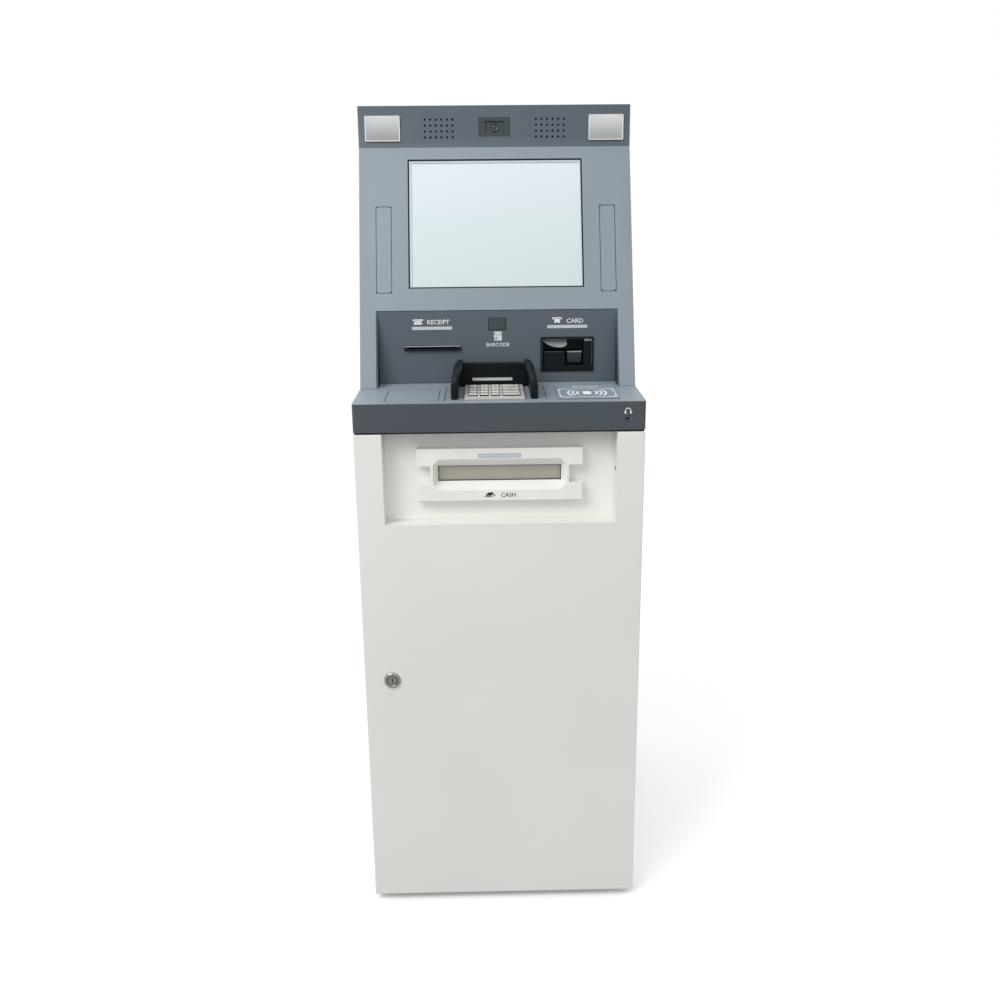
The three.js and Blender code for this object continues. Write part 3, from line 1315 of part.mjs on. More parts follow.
function cardBezel() {
  const rim = block(
    around(CARD_X, CARD_WIDTH),
    [cardFront, serviceFront - GAP],
    around(CARD_Z, CARD_HEIGHT),
  );
  const tub = block(
    around(CARD_X, CARD_WIDTH - 2 * CARD_RIM),
    [serviceFront - 1, cardFront + CARD_DEPTH],
    around(CARD_Z, CARD_HEIGHT - 2 * CARD_RIM),
  );
  const low = CARD_Z - CARD_HEIGHT / 2 + 2 * CARD_RIM;
  const high = CARD_Z + CARD_HEIGHT / 2 - CARD_RIM - SHEET;
  const left = CARD_X - CARD_WIDTH / 2 + CARD_RIM + SHEET;
  const right = CARD_X + CARD_WIDTH / 2 - CARD_RIM - SHEET;
  const cavityBack = cardFront + CARD_CAVITY;
  const cavity = block([left, right], [cardFront - 1, cavityBack], [low, high]);
  const sill = block(
    [left - 1, right - CARD_GUIDE],
    [cavityBack - CARD_SILL, cavityBack + 1],
    [low - 1, cardSlotZ - CARD_SLOT / 2],
  );
  const guide = block(
    [right - CARD_GUIDE + SHEET, right + 1],
    [cavityBack - CARD_SILL, cavityBack + 1],
    [low - 1, high + 1],
  );
  const hood = rod("x", CARD_HOOD_DROP, [left - 1, left + 2 * CARD_HOOD_RADIUS], [0, 0]);
  hood.scale(1, CARD_HOOD_REACH / CARD_HOOD_DROP, 1).translate(0, cavityBack, high);
  const hoodKept = cut(
    hood,
    block(
      [left - 2, right],
      [cavityBack, cavityBack + 2 * CARD_HOOD_REACH],
      [low, high + CARD_HOOD_DROP + 1],
    ),
    block(
      [left - 2, right],
      [cardFront - CARD_CAVITY, cavityBack + 1],
      [high + SHEET / 2, high + 2 * CARD_HOOD_DROP],
    ),
  );
  const slot = block(
    around(cardSlotX, CARD_SLOT_WIDTH),
    [cavityBack - CARD_SILL, cardFront + CARD_DEPTH + 1],
    around(cardSlotZ, CARD_SLOT),
  );
  return cut(join(cut(join(rim, tub), cavity), sill, guide, hoodKept), slot);
}

function cardReader() {
  const front = cardFront + CARD_DEPTH + SHEET;
  const body = block(
    around(cardSlotX, READER_WIDTH),
    [front, front + READER_DEPTH],
    [cardSlotZ - READER_HEIGHT * 2 / 3, cardSlotZ + READER_HEIGHT / 3],
  );
  const slot = block(
    around(cardSlotX, CARD_SLOT_WIDTH),
    [front - 1, front + READER_SLOT_DEPTH],
    around(cardSlotZ, CARD_SLOT),
  );
  return cut(body, slot);
}

add("card_bezel", cardBezel(), "black_plastic");
add("card_reader", cardReader(), "grey_plastic");

// Computer in the foot of the head.
add(
  "computer",
  block(
    both(COMPUTER_WIDTH / 2),
    [HEAD_BACK - COMPUTER_BACK_GAP - COMPUTER_DEPTH, HEAD_BACK - COMPUTER_BACK_GAP],
    [CONSOLE_BOTTOM + SHEET + GAP, CONSOLE_BOTTOM + SHEET + GAP + COMPUTER_HEIGHT],
  ),
  "black_plastic",
);

// The whole machine, with the origin on the floor under the middle of its outer box.
const machine = new THREE.Group();
cabinet.position.y = -(DEPTH - LOCK_PROUD) / 2;
machine.add(cabinet);

export default machine;
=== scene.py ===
"""A free-standing cash machine: its finishes, fine shapes and lettering, laid out as an add-on."""

import json
import math

import bmesh
import bpy
from bpy.props import FloatProperty, FloatVectorProperty, IntProperty, PointerProperty
from mathutils import Euler, Matrix, Vector

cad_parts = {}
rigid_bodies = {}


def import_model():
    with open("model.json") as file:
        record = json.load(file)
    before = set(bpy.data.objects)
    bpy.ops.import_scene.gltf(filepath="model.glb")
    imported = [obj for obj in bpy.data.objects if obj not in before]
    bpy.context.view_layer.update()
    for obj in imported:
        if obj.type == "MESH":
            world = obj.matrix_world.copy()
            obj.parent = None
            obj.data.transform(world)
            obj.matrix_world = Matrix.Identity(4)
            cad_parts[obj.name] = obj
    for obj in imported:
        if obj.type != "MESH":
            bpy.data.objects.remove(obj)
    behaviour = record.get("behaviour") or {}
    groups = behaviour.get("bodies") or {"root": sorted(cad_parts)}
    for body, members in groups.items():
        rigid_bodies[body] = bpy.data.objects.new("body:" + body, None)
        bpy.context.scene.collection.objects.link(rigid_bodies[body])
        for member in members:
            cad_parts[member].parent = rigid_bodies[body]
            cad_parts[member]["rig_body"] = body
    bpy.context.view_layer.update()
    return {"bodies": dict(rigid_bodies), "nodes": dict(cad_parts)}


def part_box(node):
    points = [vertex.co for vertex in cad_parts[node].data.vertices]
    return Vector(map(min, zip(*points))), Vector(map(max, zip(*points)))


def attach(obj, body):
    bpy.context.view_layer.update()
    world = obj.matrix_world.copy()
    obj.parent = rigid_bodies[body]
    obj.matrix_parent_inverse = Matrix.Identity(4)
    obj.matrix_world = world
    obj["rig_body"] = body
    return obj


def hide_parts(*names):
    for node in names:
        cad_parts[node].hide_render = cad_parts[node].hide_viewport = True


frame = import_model()

bl_info = {
    "name": "Cash machine",
    "version": (1, 0, 0),
    "blender": (4, 5, 0),
    "location": "View3D > Sidebar > Cash machine",
    "description": "Finishes, fine shapes and lettering of a free-standing cash machine",
    "category": "Object",
}

MM = 0.001
OUTLET_WIDTH = 204
OUTLET_HEIGHT = 26
RECESS_HALF = 190
FRONT = Vector((0, -1, 0))
BACK = Vector((0, 1, 0))
UP = Vector((0, 0, 1))
TO_MM = Matrix.Scale(MM, 4)


def tint(code):
    """A hex colour as the linear values that a shader takes."""
    parts = [int(code[i:i + 2], 16) / 255 for i in (0, 2, 4)]
    return tuple(c / 12.92 if c <= 0.04045 else ((c + 0.055) / 1.055) ** 2.4 for c in parts)


def shade(colour, factor=1.0):
    """A colour made lighter or darker, with its alpha."""
    return (*(min(1.0, c * factor) for c in colour[:3]), 1.0)


# Settings that a user would change


def colour_setting(name, description, code):
    return FloatVectorProperty(
        name=name, description=description, subtype="COLOR", size=3, min=0, max=1, default=tint(code)
    )


def length_setting(name, description, millimetres):
    return FloatProperty(
        name=name, description=description, unit="LENGTH", min=0, default=millimetres * MM, precision=4
    )


class PaintSettings(bpy.types.PropertyGroup):
    white: colour_setting("Cabinet white", "Powder coat of the cabinet and its door", "ebe9e5")
    grey: colour_setting("Console grey", "Paint of the shelf and the screen panel", "8a959e")
    # Painted shade: a darker copy of the console grey, for the upright strip and the recessed service panel.
    dark: colour_setting("Painted shade grey", "Grey darkened as painted shade on the strip and the service panel", "57616a")
    # Painted shade: a darker copy of the console grey, for its upright front face.
    front: colour_setting("Console front", "Grey darkened as painted shade on the console's front face", "474f56")
    safe: colour_setting("Safe grey", "Textured paint of the safe", "4a5056")
    peel: length_setting("Peel", "Height of the powder coat's ripple", 0.05)
    wear: FloatProperty(
        name="Edge wear", description="How far edges show through", min=0, max=1, default=0.25,
        subtype="FACTOR",
    )


class PanelSettings(bpy.types.PropertyGroup):
    light: colour_setting("Light lens", "Lens of the five indicator lights", "cfd2d5")
    print_white: colour_setting("White print", "Ink of the signs on grey paint", "f4f6f8")
    print_dark: colour_setting("Dark print", "Ink of the signs on white plastic and keys", "1c1e20")
    light_height: length_setting("Light height", "Height of an indicator light", 5.4)
    sign_height: length_setting("Sign height", "Height of the function signs' capitals", 7.6)
    hole_diameter: length_setting("Speaker hole", "Diameter of a speaker hole", 3.9)
    hole_pitch: length_setting("Speaker pitch", "Distance between speaker holes", 9.6)
    hole_columns: IntProperty(name="Speaker columns", description="Holes across", min=1, default=6)
    hole_rows: IntProperty(name="Speaker rows", description="Holes up", min=1, default=4)
    seam: length_setting("Seam", "Width of the shelf's panel seams", 1.3)


class RearSettings(bpy.types.PropertyGroup):
    louvre_length: length_setting("Louvre length", "Length of a louvre in the rear door", 70)
    louvre_pitch: length_setting("Louvre pitch", "Distance between louvres", 12)
    louvre_rows: IntProperty(name="Louvre rows", description="Louvres in a block", min=1, default=9)
    screw_diameter: length_setting("Screw head", "Diameter of a screw's head", 7)


class StudioSettings(bpy.types.PropertyGroup):
    eye: FloatVectorProperty(
        name="Camera", description="Camera's place", subtype="TRANSLATION", size=3,
        default=(-0.021, -1.650, 1.079),
    )
    pitch: FloatProperty(
        name="Pitch", description="Camera's tilt down", subtype="ANGLE", default=math.radians(13.48)
    )
    heading: FloatProperty(
        name="Heading", description="Camera's turn to the left", subtype="ANGLE", default=math.radians(-0.86)
    )
    roll: FloatProperty(
        name="Roll", description="Camera's roll", subtype="ANGLE", default=math.radians(-0.61)
    )
    lens: FloatProperty(name="Lens", description="Focal length in millimetres", min=1, default=31.1)
    key_power: FloatProperty(name="Key light", description="Power of the overhead light", subtype="POWER",
                             min=0, default=37)
    sky: FloatProperty(name="Sky", description="Strength of the sky above", min=0, default=0.71)
    floor: colour_setting("Floor", "Colour of the floor", "ffffff")


# Reading the frame


def middle(node):
    low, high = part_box(node)
    return (low + high) / 2


def body_of(node):
    return frame["nodes"][node]["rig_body"]


def face_of(node, towards=FRONT):
    """A node's largest flat face that looks about one way, as a matrix at the face's middle:
    X runs across, Y up along the face and Z out of it."""
    mesh = frame["nodes"][node].data
    groups = {}
    for polygon in mesh.polygons:
        if polygon.normal.dot(towards) > 0.7:
            flat = [round(c, 2) for c in polygon.normal]
            key = (*flat, round(polygon.center.dot(polygon.normal), 4))
            groups.setdefault(key, []).append(polygon)
    face = max(groups.values(), key=lambda group: sum(p.area for p in group))
    out = sum((p.normal * p.area for p in face), Vector()).normalized()
    up = (UP - out * out.z).normalized()
    across = up.cross(out)
    corners = [mesh.vertices[v].co for p in face for v in p.vertices]

    def centre(axis):
        along = [c.dot(axis) for c in corners]
        return axis * (min(along) + max(along)) / 2

    turn = Matrix((across, up, out)).transposed().to_4x4()
    return Matrix.Translation(centre(across) + centre(up) + centre(out)) @ turn


def spot(face, anchor=None, across=0, up=0, out=0):
    """A place on a face, some millimetres from the point of it nearest to an anchor."""
    x, y, z = (face.col[i].to_3d() for i in range(3))
    origin = face.translation if anchor is None else anchor - z * (anchor - face.translation).dot(z)
    shifted = origin + (x * across + y * up + z * out) * MM
    return Matrix.Translation(shifted) @ face.to_3x3().to_4x4()


# Meshes. Shapes are made in millimetres about their own origin, and piece() puts them in place.


def outline_block(outline, low, high):
    """A closed prism of an outline of [x, y] points between two heights."""
    bm = bmesh.new()
    rings = [[bm.verts.new((x, y, z)) for x, y in outline] for z in (low, high)]
    bm.faces.new(reversed(rings[0]))
    bm.faces.new(rings[1])
    join_rings(bm, *rings)
    return bm


def join_rings(bm, below, above):
    count = len(below)
    for i in range(count):
        j = (i + 1) % count
        bm.faces.new((below[i], below[j], above[j], above[i]))


def rounded(width, height, radius, steps=5):
    """The outline of a rectangle with round corners, about its middle."""
    points = []
    for quarter, (sx, sy) in enumerate(((1, 1), (-1, 1), (-1, -1), (1, -1))):
        for step in range(steps + 1):
            turn = math.radians(90) * (quarter + step / steps)
            x = sx * (width / 2 - radius) + radius * math.cos(turn)
            points.append((x, sy * (height / 2 - radius) + radius * math.sin(turn)))
    return points


def slab(width, height, low, high, radius=1.0, steps=5):
    return outline_block(rounded(width, height, radius, steps), low, high)


def frame_ring(width, height, band, low, high, radius=1.0):
    """A closed rectangular ring: its outer size, the width of its band and its two heights."""
    bm = bmesh.new()
    outer = rounded(width, height, radius)
    inner = rounded(width - 2 * band, height - 2 * band, max(radius - band, 0.2))
    loops = [
        [bm.verts.new((x, y, z)) for x, y in points]
        for points, z in ((outer, low), (outer, high), (inner, high), (inner, low))
    ]
    for below, above in zip(loops, loops[1:] + loops[:1]):
        join_rings(bm, below, above)
    return bm


def turned(profile, steps=48):
    """A round piece about Z, from a profile of [radius, height] that starts and ends on the axis."""
    bm = bmesh.new()
    rings = []
    for radius, height in profile:
        if radius == 0:
            rings.append([bm.verts.new((0, 0, height))])
        else:
            turns = [math.tau * i / steps for i in range(steps)]
            rings.append([bm.verts.new((radius * math.cos(t), radius * math.sin(t), height)) for t in turns])
    for below, above in zip(rings, rings[1:]):
        for i in range(steps):
            j = (i + 1) % steps
            corners = [
                below[i % len(below)], below[j % len(below)], above[j % len(above)], above[i % len(above)],
            ]
            bm.faces.new(list(dict.fromkeys(corners)))
    return bm


def lofted(rings):
    """A closed skin over rings of points that have the same count, with both ends capped."""
    bm = bmesh.new()
    loops = [[bm.verts.new(point) for point in ring] for ring in rings]
    for below, above in zip(loops, loops[1:]):
        join_rings(bm, below, above)
    bm.faces.new(reversed(loops[0]))
    bm.faces.new(loops[-1])
    return bm


def merged(*parts):
    """Several meshes as one, each part a mesh or a mesh with the matrix that places it."""
    bm = bmesh.new()
    for part in parts:
        source, place = part if isinstance(part, tuple) else (part, Matrix())
        source.transform(place)
        mesh = bpy.data.meshes.new("part")
        source.to_mesh(mesh)
        source.free()
        bm.from_mesh(mesh)
        bpy.data.meshes.remove(mesh)
    return bm


def move(x=0, y=0, z=0):
    return Matrix.Translation((x, y, z))


def turn(degrees, axis):
    return Matrix.Rotation(math.radians(degrees), 4, axis)


def scratch(bm):
    """A temporary object that holds a mesh."""
    mesh = bpy.data.meshes.new("scratch")
    bm.to_mesh(mesh)
    bm.free()
    made = bpy.data.objects.new("scratch", mesh)
    bpy.context.scene.collection.objects.link(made)
    return made


def evaluated(source, *others):
    """An object's mesh with its modifiers, as a bmesh. The temporary objects are removed."""
    bpy.context.view_layer.update()
    graph = bpy.context.evaluated_depsgraph_get()
    mesh = bpy.data.meshes.new_from_object(source.evaluated_get(graph))
    bm = bmesh.new()
    bm.from_mesh(mesh)
    bpy.data.meshes.remove(mesh)
    for made in (source, *others):
        data = made.data
        bpy.data.objects.remove(made)
        (bpy.data.curves if isinstance(data, bpy.types.Curve) else bpy.data.meshes).remove(data)
    return bm


def combined(bm, tool, operation="DIFFERENCE"):
    """A solid cut by another, or joined to it."""
    base, other = scratch(bm), scratch(tool)
    modifier = base.modifiers.new("Combine", "BOOLEAN")
    modifier.object = other
    modifier.operation = operation
    modifier.solver = "EXACT"
    return evaluated(base, other)


def soften(bm, width, segments=2, angle=40, pick=None):
    """Rounds the edges that turn by more than an angle, or those of them that pick() takes."""
    sharp = math.radians(angle)
    edges = [
        e for e in bm.edges
        if len(e.link_faces) == 2 and e.calc_face_angle(0) > sharp and (pick is None or pick(e))
    ]
    bmesh.ops.bevel(
        bm, geom=edges, offset=width, offset_type="OFFSET", segments=segments, profile=0.5,
        affect="EDGES", clamp_overlap=True,
    )
    return bm


def on_plane(axis, value):
    """Picks the edges that lie where one coordinate has a value."""
    return lambda edge: all(abs(v.co["xyz".index(axis)] - value) < 1e-5 for v in edge.verts)


def on_box(node):
    """Picks the edges that lie along the edges of a node's box."""
    low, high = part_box(node)
    planes = [on_plane(axis, corner["xyz".index(axis)]) for axis in "xyz" for corner in (low, high)]
    return lambda edge: sum(plane(edge) for plane in planes) >= 2


def node_mesh(node):
    """A node's mesh with its triangles merged into whole faces, in metres."""
    bm = bmesh.new()
    bm.from_mesh(frame["nodes"][node].data)
    bmesh.ops.remove_doubles(bm, verts=bm.verts, dist=1e-6)
    bmesh.ops.dissolve_limit(bm, angle_limit=math.radians(0.5), verts=bm.verts, edges=bm.edges)
    return bm


def lettering(text, height, weight=0.0):
    """Printed letters as thin solids: X starts at the first letter, Y at their foot."""
    curve = bpy.data.curves.new("lettering", "FONT")
    curve.body = text
    curve.extrude = 0.5
    curve.offset = weight
    curve.resolution_u = 3
    made = bpy.data.objects.new("lettering", curve)
    bpy.context.scene.collection.objects.link(made)
    bm = evaluated(made)
    bmesh.ops.remove_doubles(bm, verts=bm.verts, dist=1e-5)
    xs = [v.co.x for v in bm.verts]
    ys = [v.co.y for v in bm.verts]
    size = height / (max(ys) - min(ys))
    for v in bm.verts:
        v.co = ((v.co.x - min(xs)) * size, (v.co.y - min(ys)) * size, (v.co.z + 0.5) * PRINT)
    return bm


PRINT = 0.15  # height of printed ink, in millimetres


def ink(*outlines):
    """Printed shapes as thin solids, one for each outline."""
    return merged(*(outline_block(points, 0, PRINT) for points in outlines))


def bar(x, y, width, height):
    return [(x, y), (x + width, y), (x + width, y + height), (x, y + height)]


def arc_band(radius, band, start, end, centre=(0, 0), steps=10, stretch=1.0):
    """The outline of a stretch of a ring, angles in degrees, wider by the stretch across X."""
    turns = [math.radians(start + (end - start) * i / steps) for i in range(steps + 1)]
    outer = [(centre[0] + stretch * radius * math.cos(t), centre[1] + radius * math.sin(t)) for t in turns]
    inner = [
        (centre[0] + stretch * (radius - band) * math.cos(t), centre[1] + (radius - band) * math.sin(t))
        for t in reversed(turns)
    ]
    return outer + inner


def piece(name, bm, material, body, place=None, stands_for=(), metric=False, sharp=50):
    """Makes a finished piece: puts it in place, shades it and hands it to the frame.
    The mesh is in millimetres about its own origin, or with metric in metres and in place."""
    if not metric:
        bmesh.ops.recalc_face_normals(bm, faces=bm.faces)
        bm.transform((place or Matrix()) @ TO_MM)
    if not bm.faces:
        raise ValueError(name + " has no faces")
    mesh = bpy.data.meshes.new(name)
    bm.to_mesh(mesh)
    bm.free()
    mesh.polygons.foreach_set("use_smooth", [True] * len(mesh.polygons))
    mesh.set_sharp_from_angle(angle=math.radians(sharp))
    materials = material if isinstance(material, (list, tuple)) else [material]
    for each in materials:
        mesh.materials.append(each)
    made = bpy.data.objects.new(name, mesh)
    bpy.context.scene.collection.objects.link(made)
    shading = made.modifiers.new("Even shading", "WEIGHTED_NORMAL")
    shading.keep_sharp = True
    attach(made, body)
    if stands_for:
        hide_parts(*stands_for)
    return made


def finished(node, material, soft=0.4, folds=(), segments=2, carve=None):
    """A node's own shape with its folds and edges rounded. Folds are (radius in mm, pick) pairs."""
    bm = node_mesh(node)
    for radius, pick in folds:
        soften(bm, radius * MM, 4, 40, pick)
    if soft:
        soften(bm, soft * MM, segments)
    if carve is not None:
        bm = combined(bm, carve)
    return piece(node + "_finished", bm, material, body_of(node), stands_for=[node], metric=True)


# Geometry nodes for what repeats


def repeat_tree(name, inputs, build):
    """A node tree that copies its input mesh over points, ending in real meshes with a material."""
    if name in bpy.data.node_groups:
        return bpy.data.node_groups[name]
    tree = bpy.data.node_groups.new(name, "GeometryNodeTree")
    tree.interface.new_socket("Copy", in_out="INPUT", socket_type="NodeSocketGeometry")
    for label, kind in inputs.items():
        tree.interface.new_socket(label, in_out="INPUT", socket_type=kind)
    tree.interface.new_socket("Material", in_out="INPUT", socket_type="NodeSocketMaterial")
    tree.interface.new_socket("Copies", in_out="OUTPUT", socket_type="NodeSocketGeometry")
    add = adder(tree)
    given = add("NodeGroupInput")
    points, rotation = build(add, given)
    copies = add("GeometryNodeInstanceOnPoints", {"Points": points, "Instance": given.outputs["Copy"]})
    if rotation is not None:
        tree.links.new(rotation, copies.inputs["Rotation"])
    real = add("GeometryNodeRealizeInstances", {"Geometry": copies.outputs["Instances"]})
    painted_copies = add("GeometryNodeSetMaterial", {
        "Geometry": real.outputs["Geometry"],
        "Material": given.outputs["Material"],
    })
    add("NodeGroupOutput", {"Copies": painted_copies.outputs["Geometry"]})
    return tree


def grid_points(add, given):
    """Points in rows and columns about the middle."""
    sizes = []
    for count, pitch in (("Columns", "Pitch X"), ("Rows", "Pitch Y")):
        gap_shadows = add("ShaderNodeMath", {0: given.outputs[count], 1: 1.0}, operation="SUBTRACT")
        size = add("ShaderNodeMath", {0: gap_shadows.outputs[0], 1: given.outputs[pitch]}, operation="MULTIPLY")
        sizes.append(size.outputs[0])
    grid = add("GeometryNodeMeshGrid", {
        "Size X": sizes[0],
        "Size Y": sizes[1],
        "Vertices X": given.outputs["Columns"],
        "Vertices Y": given.outputs["Rows"],
    })
    return grid.outputs["Mesh"], None


def ring_points(add, given):
    """Points round a circle, each copy's X turned outwards."""
    circle = add("GeometryNodeMeshCircle", {
        "Vertices": given.outputs["Count"],
        "Radius": given.outputs["Radius"],
    })
    place = add("GeometryNodeInputPosition")
    aligned = add("FunctionNodeAlignRotationToVector", {"Vector": place.outputs[0]}, axis="X")
    return circle.outputs["Mesh"], aligned.outputs["Rotation"]


def repeated(bm, tree, material, **values):
    """Copies of a mesh laid out by a node tree, as one plain mesh."""
    source = scratch(bm)
    modifier = source.modifiers.new("Repeat", "NODES")
    modifier.node_group = tree
    given = {**{key.replace("_", " "): value for key, value in values.items()}, "Material": material}
    for item in tree.interface.items_tree:
        if item.in_out == "INPUT" and item.name in given:
            modifier[item.identifier] = given[item.name]
    return evaluated(source)


def in_grid(bm, material, columns, rows, pitch_x, pitch_y):
    tree = repeat_tree("Copies in a grid", {
        "Columns": "NodeSocketInt",
        "Rows": "NodeSocketInt",
        "Pitch X": "NodeSocketFloat",
        "Pitch Y": "NodeSocketFloat",
    }, grid_points)
    return repeated(
        bm, tree, material,
        Columns=columns, Rows=rows, Pitch_X=float(pitch_x), Pitch_Y=float(pitch_y),
    )


def in_ring(bm, material, count, radius):
    tree = repeat_tree(
        "Copies in a ring", {"Count": "NodeSocketInt", "Radius": "NodeSocketFloat"}, ring_points
    )
    return repeated(bm, tree, material, Count=count, Radius=float(radius))


# Materials: shared effects as node groups, shaders in the materials


def adder(tree):
    """A function that adds a node to a tree, with its settings, values and links by name."""

    def add(kind, inputs=None, **settings):
        node = tree.nodes.new(kind)
        for key, value in settings.items():
            setattr(node, key, value)
        for key, value in (inputs or {}).items():
            if isinstance(value, bpy.types.NodeSocket):
                tree.links.new(value, node.inputs[key])
            else:
                node.inputs[key].default_value = value
        return node

    return add


def effect(name, inputs, outputs, build):
    """A shader node group of named number inputs and outputs, built once."""
    if name in bpy.data.node_groups:
        return bpy.data.node_groups[name]
    tree = bpy.data.node_groups.new(name, "ShaderNodeTree")
    for label, value in inputs.items():
        socket = tree.interface.new_socket(label, in_out="INPUT", socket_type="NodeSocketFloat")
        socket.default_value = value
    for label in outputs:
        tree.interface.new_socket(label, in_out="OUTPUT", socket_type="NodeSocketFloat")
    add = adder(tree)
    given = add("NodeGroupInput")
    add("NodeGroupOutput", build(add, given.outputs))
    return tree


def object_point(add, stretch=(1, 1, 1)):
    place = add("ShaderNodeTexCoord")
    scaled = add("ShaderNodeMapping", {"Vector": place.outputs["Object"], "Scale": stretch})
    return scaled.outputs["Vector"]


def build_edge_wear(add, given):
    """Where the surface turns within a radius, broken up by noise."""
    turned_normal = add("ShaderNodeBevel", {"Radius": given["Radius"]}, samples=4)
    own = add("ShaderNodeNewGeometry")
    same = add("ShaderNodeVectorMath", {
        0: turned_normal.outputs["Normal"],
        1: own.outputs["Normal"],
    }, operation="DOT_PRODUCT")
    edge = add("ShaderNodeMapRange", {
        "Value": same.outputs["Value"],
        "From Min": 0.995,
        "From Max": 0.85,
    })
    noise = add("ShaderNodeTexNoise", {"Vector": object_point(add), "Scale": 90.0, "Detail": 3.0})
    broken = add("ShaderNodeMapRange", {"Value": noise.outputs["Fac"], "From Min": 0.42, "From Max": 0.62})
    both = add("ShaderNodeMath", {0: edge.outputs[0], 1: broken.outputs[0]}, operation="MULTIPLY")
    mask = add("ShaderNodeMath", {0: both.outputs[0], 1: given["Amount"]}, operation="MULTIPLY")
    return {"Mask": mask.outputs[0]}


def build_grain(add, given):
    """Fine ripple, with a broad drift of tone."""
    point = object_point(add)
    ripple = add("ShaderNodeTexNoise", {"Vector": point, "Scale": given["Scale"], "Detail": 3.0})
    drift = add("ShaderNodeTexNoise", {"Vector": point, "Scale": given["Drift"], "Detail": 2.0})
    tone = add("ShaderNodeMapRange", {"Value": drift.outputs["Fac"], "From Min": 0.3, "From Max": 0.7})
    return {"Height": ripple.outputs["Fac"], "Tone": tone.outputs[0]}


def build_smudges(add, given):
    """Roughness that wanders between two values."""
    point = object_point(add)
    patches = add("ShaderNodeTexNoise", {
        "Vector": point,
        "Scale": given["Scale"],
        "Detail": 5.0,
        "Roughness": 0.62,
    })
    value = add("ShaderNodeMapRange", {
        "Value": patches.outputs["Fac"],
        "From Min": 0.32,
        "From Max": 0.68,
        "To Min": given["Smooth"],
        "To Max": given["Rough"],
    })
    return {"Roughness": value.outputs[0]}


def build_dust(add, given):
    """Dust on what faces up."""
    own = add("ShaderNodeNewGeometry")
    split = add("ShaderNodeSeparateXYZ", {"Vector": own.outputs["Normal"]})
    above = add("ShaderNodeMapRange", {"Value": split.outputs["Z"], "From Min": 0.55, "From Max": 0.98})
    noise = add("ShaderNodeTexNoise", {"Vector": object_point(add), "Scale": 38.0, "Detail": 6.0})
    patchy = add("ShaderNodeMapRange", {"Value": noise.outputs["Fac"], "From Min": 0.35, "From Max": 0.75})
    both = add("ShaderNodeMath", {0: above.outputs[0], 1: patchy.outputs[0]}, operation="MULTIPLY")
    mask = add("ShaderNodeMath", {0: both.outputs[0], 1: given["Amount"]}, operation="MULTIPLY")
    return {"Mask": mask.outputs[0]}


def build_brushing(add, given):
    """Fine scratches along X."""
    fine = add("ShaderNodeTexNoise", {
        "Vector": object_point(add, (0.02, 1, 1)),
        "Scale": given["Scale"],
        "Detail": 4.0,
    })
    return {"Height": fine.outputs["Fac"]}


EFFECTS = {
    "Edge wear": ({"Radius": 0.001, "Amount": 0.3}, ["Mask"], build_edge_wear),
    "Grain": ({"Scale": 900.0, "Drift": 3.0}, ["Height", "Tone"], build_grain),
    "Smudges": ({"Scale": 14.0, "Smooth": 0.35, "Rough": 0.5}, ["Roughness"], build_smudges),
    "Dust": ({"Amount": 0.1}, ["Mask"], build_dust),
    "Brushing": ({"Scale": 2400.0}, ["Height"], build_brushing),
}


def use(add, name, **values):
    """Places a shared effect in a material, with this material's values."""
    tree = effect(name, *EFFECTS[name])
    return add("ShaderNodeGroup", values, node_tree=tree).outputs


def mixed(add, mask, first, second):
    """Two colours mixed by a mask. Each is a colour or a socket."""
    return add("ShaderNodeMix", {0: mask, 6: first, 7: second}, data_type="RGBA").outputs[2]


def bumped(add, height, distance, strength=1.0):
    return add("ShaderNodeBump", {
        "Height": height,
        "Distance": distance,
        "Strength": strength,
    }).outputs["Normal"]


def surface(name, build):
    """A material built once: build(add) gives the Principled shader's values and links."""
    if name in bpy.data.materials:
        return bpy.data.materials[name]
    material = bpy.data.materials.new(name)
    material.use_nodes = True
    material.node_tree.nodes.clear()
    add = adder(material.node_tree)
    shader = add("ShaderNodeBsdfPrincipled", build(add))
    add("ShaderNodeOutputMaterial", {"Surface": shader.outputs["BSDF"]})
    return material


def settings():
    scene = bpy.context.scene
    return scene.cash_paint, scene.cash_panel, scene.cash_rear, scene.cash_studio


def coated(name, colour, smooth, rough, scale=520.0, dust=0.06, peel=1.0, worn=1.5):
    """Powder coat: a faint ripple, tone that drifts, lighter worn edges and a little dust."""
    paint = settings()[0]

    def build(add):
        grain = use(add, "Grain", Scale=scale, Drift=2.6)
        base = mixed(add, grain["Tone"], shade(colour, 0.965), shade(colour, 1.035))
        edged = mixed(add, use(add, "Edge wear", Radius=0.0012, Amount=paint.wear)["Mask"], base,
                      shade(colour, worn))
        dusty = mixed(add, use(add, "Dust", Amount=dust)["Mask"], edged, shade(tint("c9c5bb")))
        return {
            "Base Color": dusty,
            "Roughness": use(add, "Smudges", Scale=9.0, Smooth=smooth, Rough=rough)["Roughness"],
            "Normal": bumped(add, grain["Height"], paint.peel * peel, 0.35),
        }

    return surface(name, build)


def white_paint():
    return coated("White powder coat", settings()[0].white, 0.36, 0.48, worn=1.06)


# A lighter copy of the white powder coat: painted light that lifts the shade in the door's recess.
def bright_paint():
    return coated("White coat with painted light", shade(settings()[0].white, 1.14), 0.3, 0.42, worn=1.02)


def grey_paint():
    return coated("Grey powder coat", settings()[0].grey, 0.34, 0.46, dust=0.05)


# A darker copy of the grey powder coat: painted shade on upright and recessed faces.
def dark_paint():
    return coated("Grey coat with painted shade", settings()[0].dark, 0.36, 0.48, dust=0.05)


# A darker copy of the grey powder coat: painted shade on the console's upright front.
def front_paint():
    return coated("Console front painted shade coat", settings()[0].front, 0.38, 0.5, dust=0.03)


# The console front colour at 0.3: painted shade on the recess's side walls.
def side_wall_paint():
    return coated("Side wall painted shade coat", shade(settings()[0].front, 0.3), 0.5, 0.62, dust=0.02)


def safe_paint():
    return coated("Hammered safe paint", settings()[0].safe, 0.42, 0.6, scale=260.0, dust=0.12, peel=3.0)


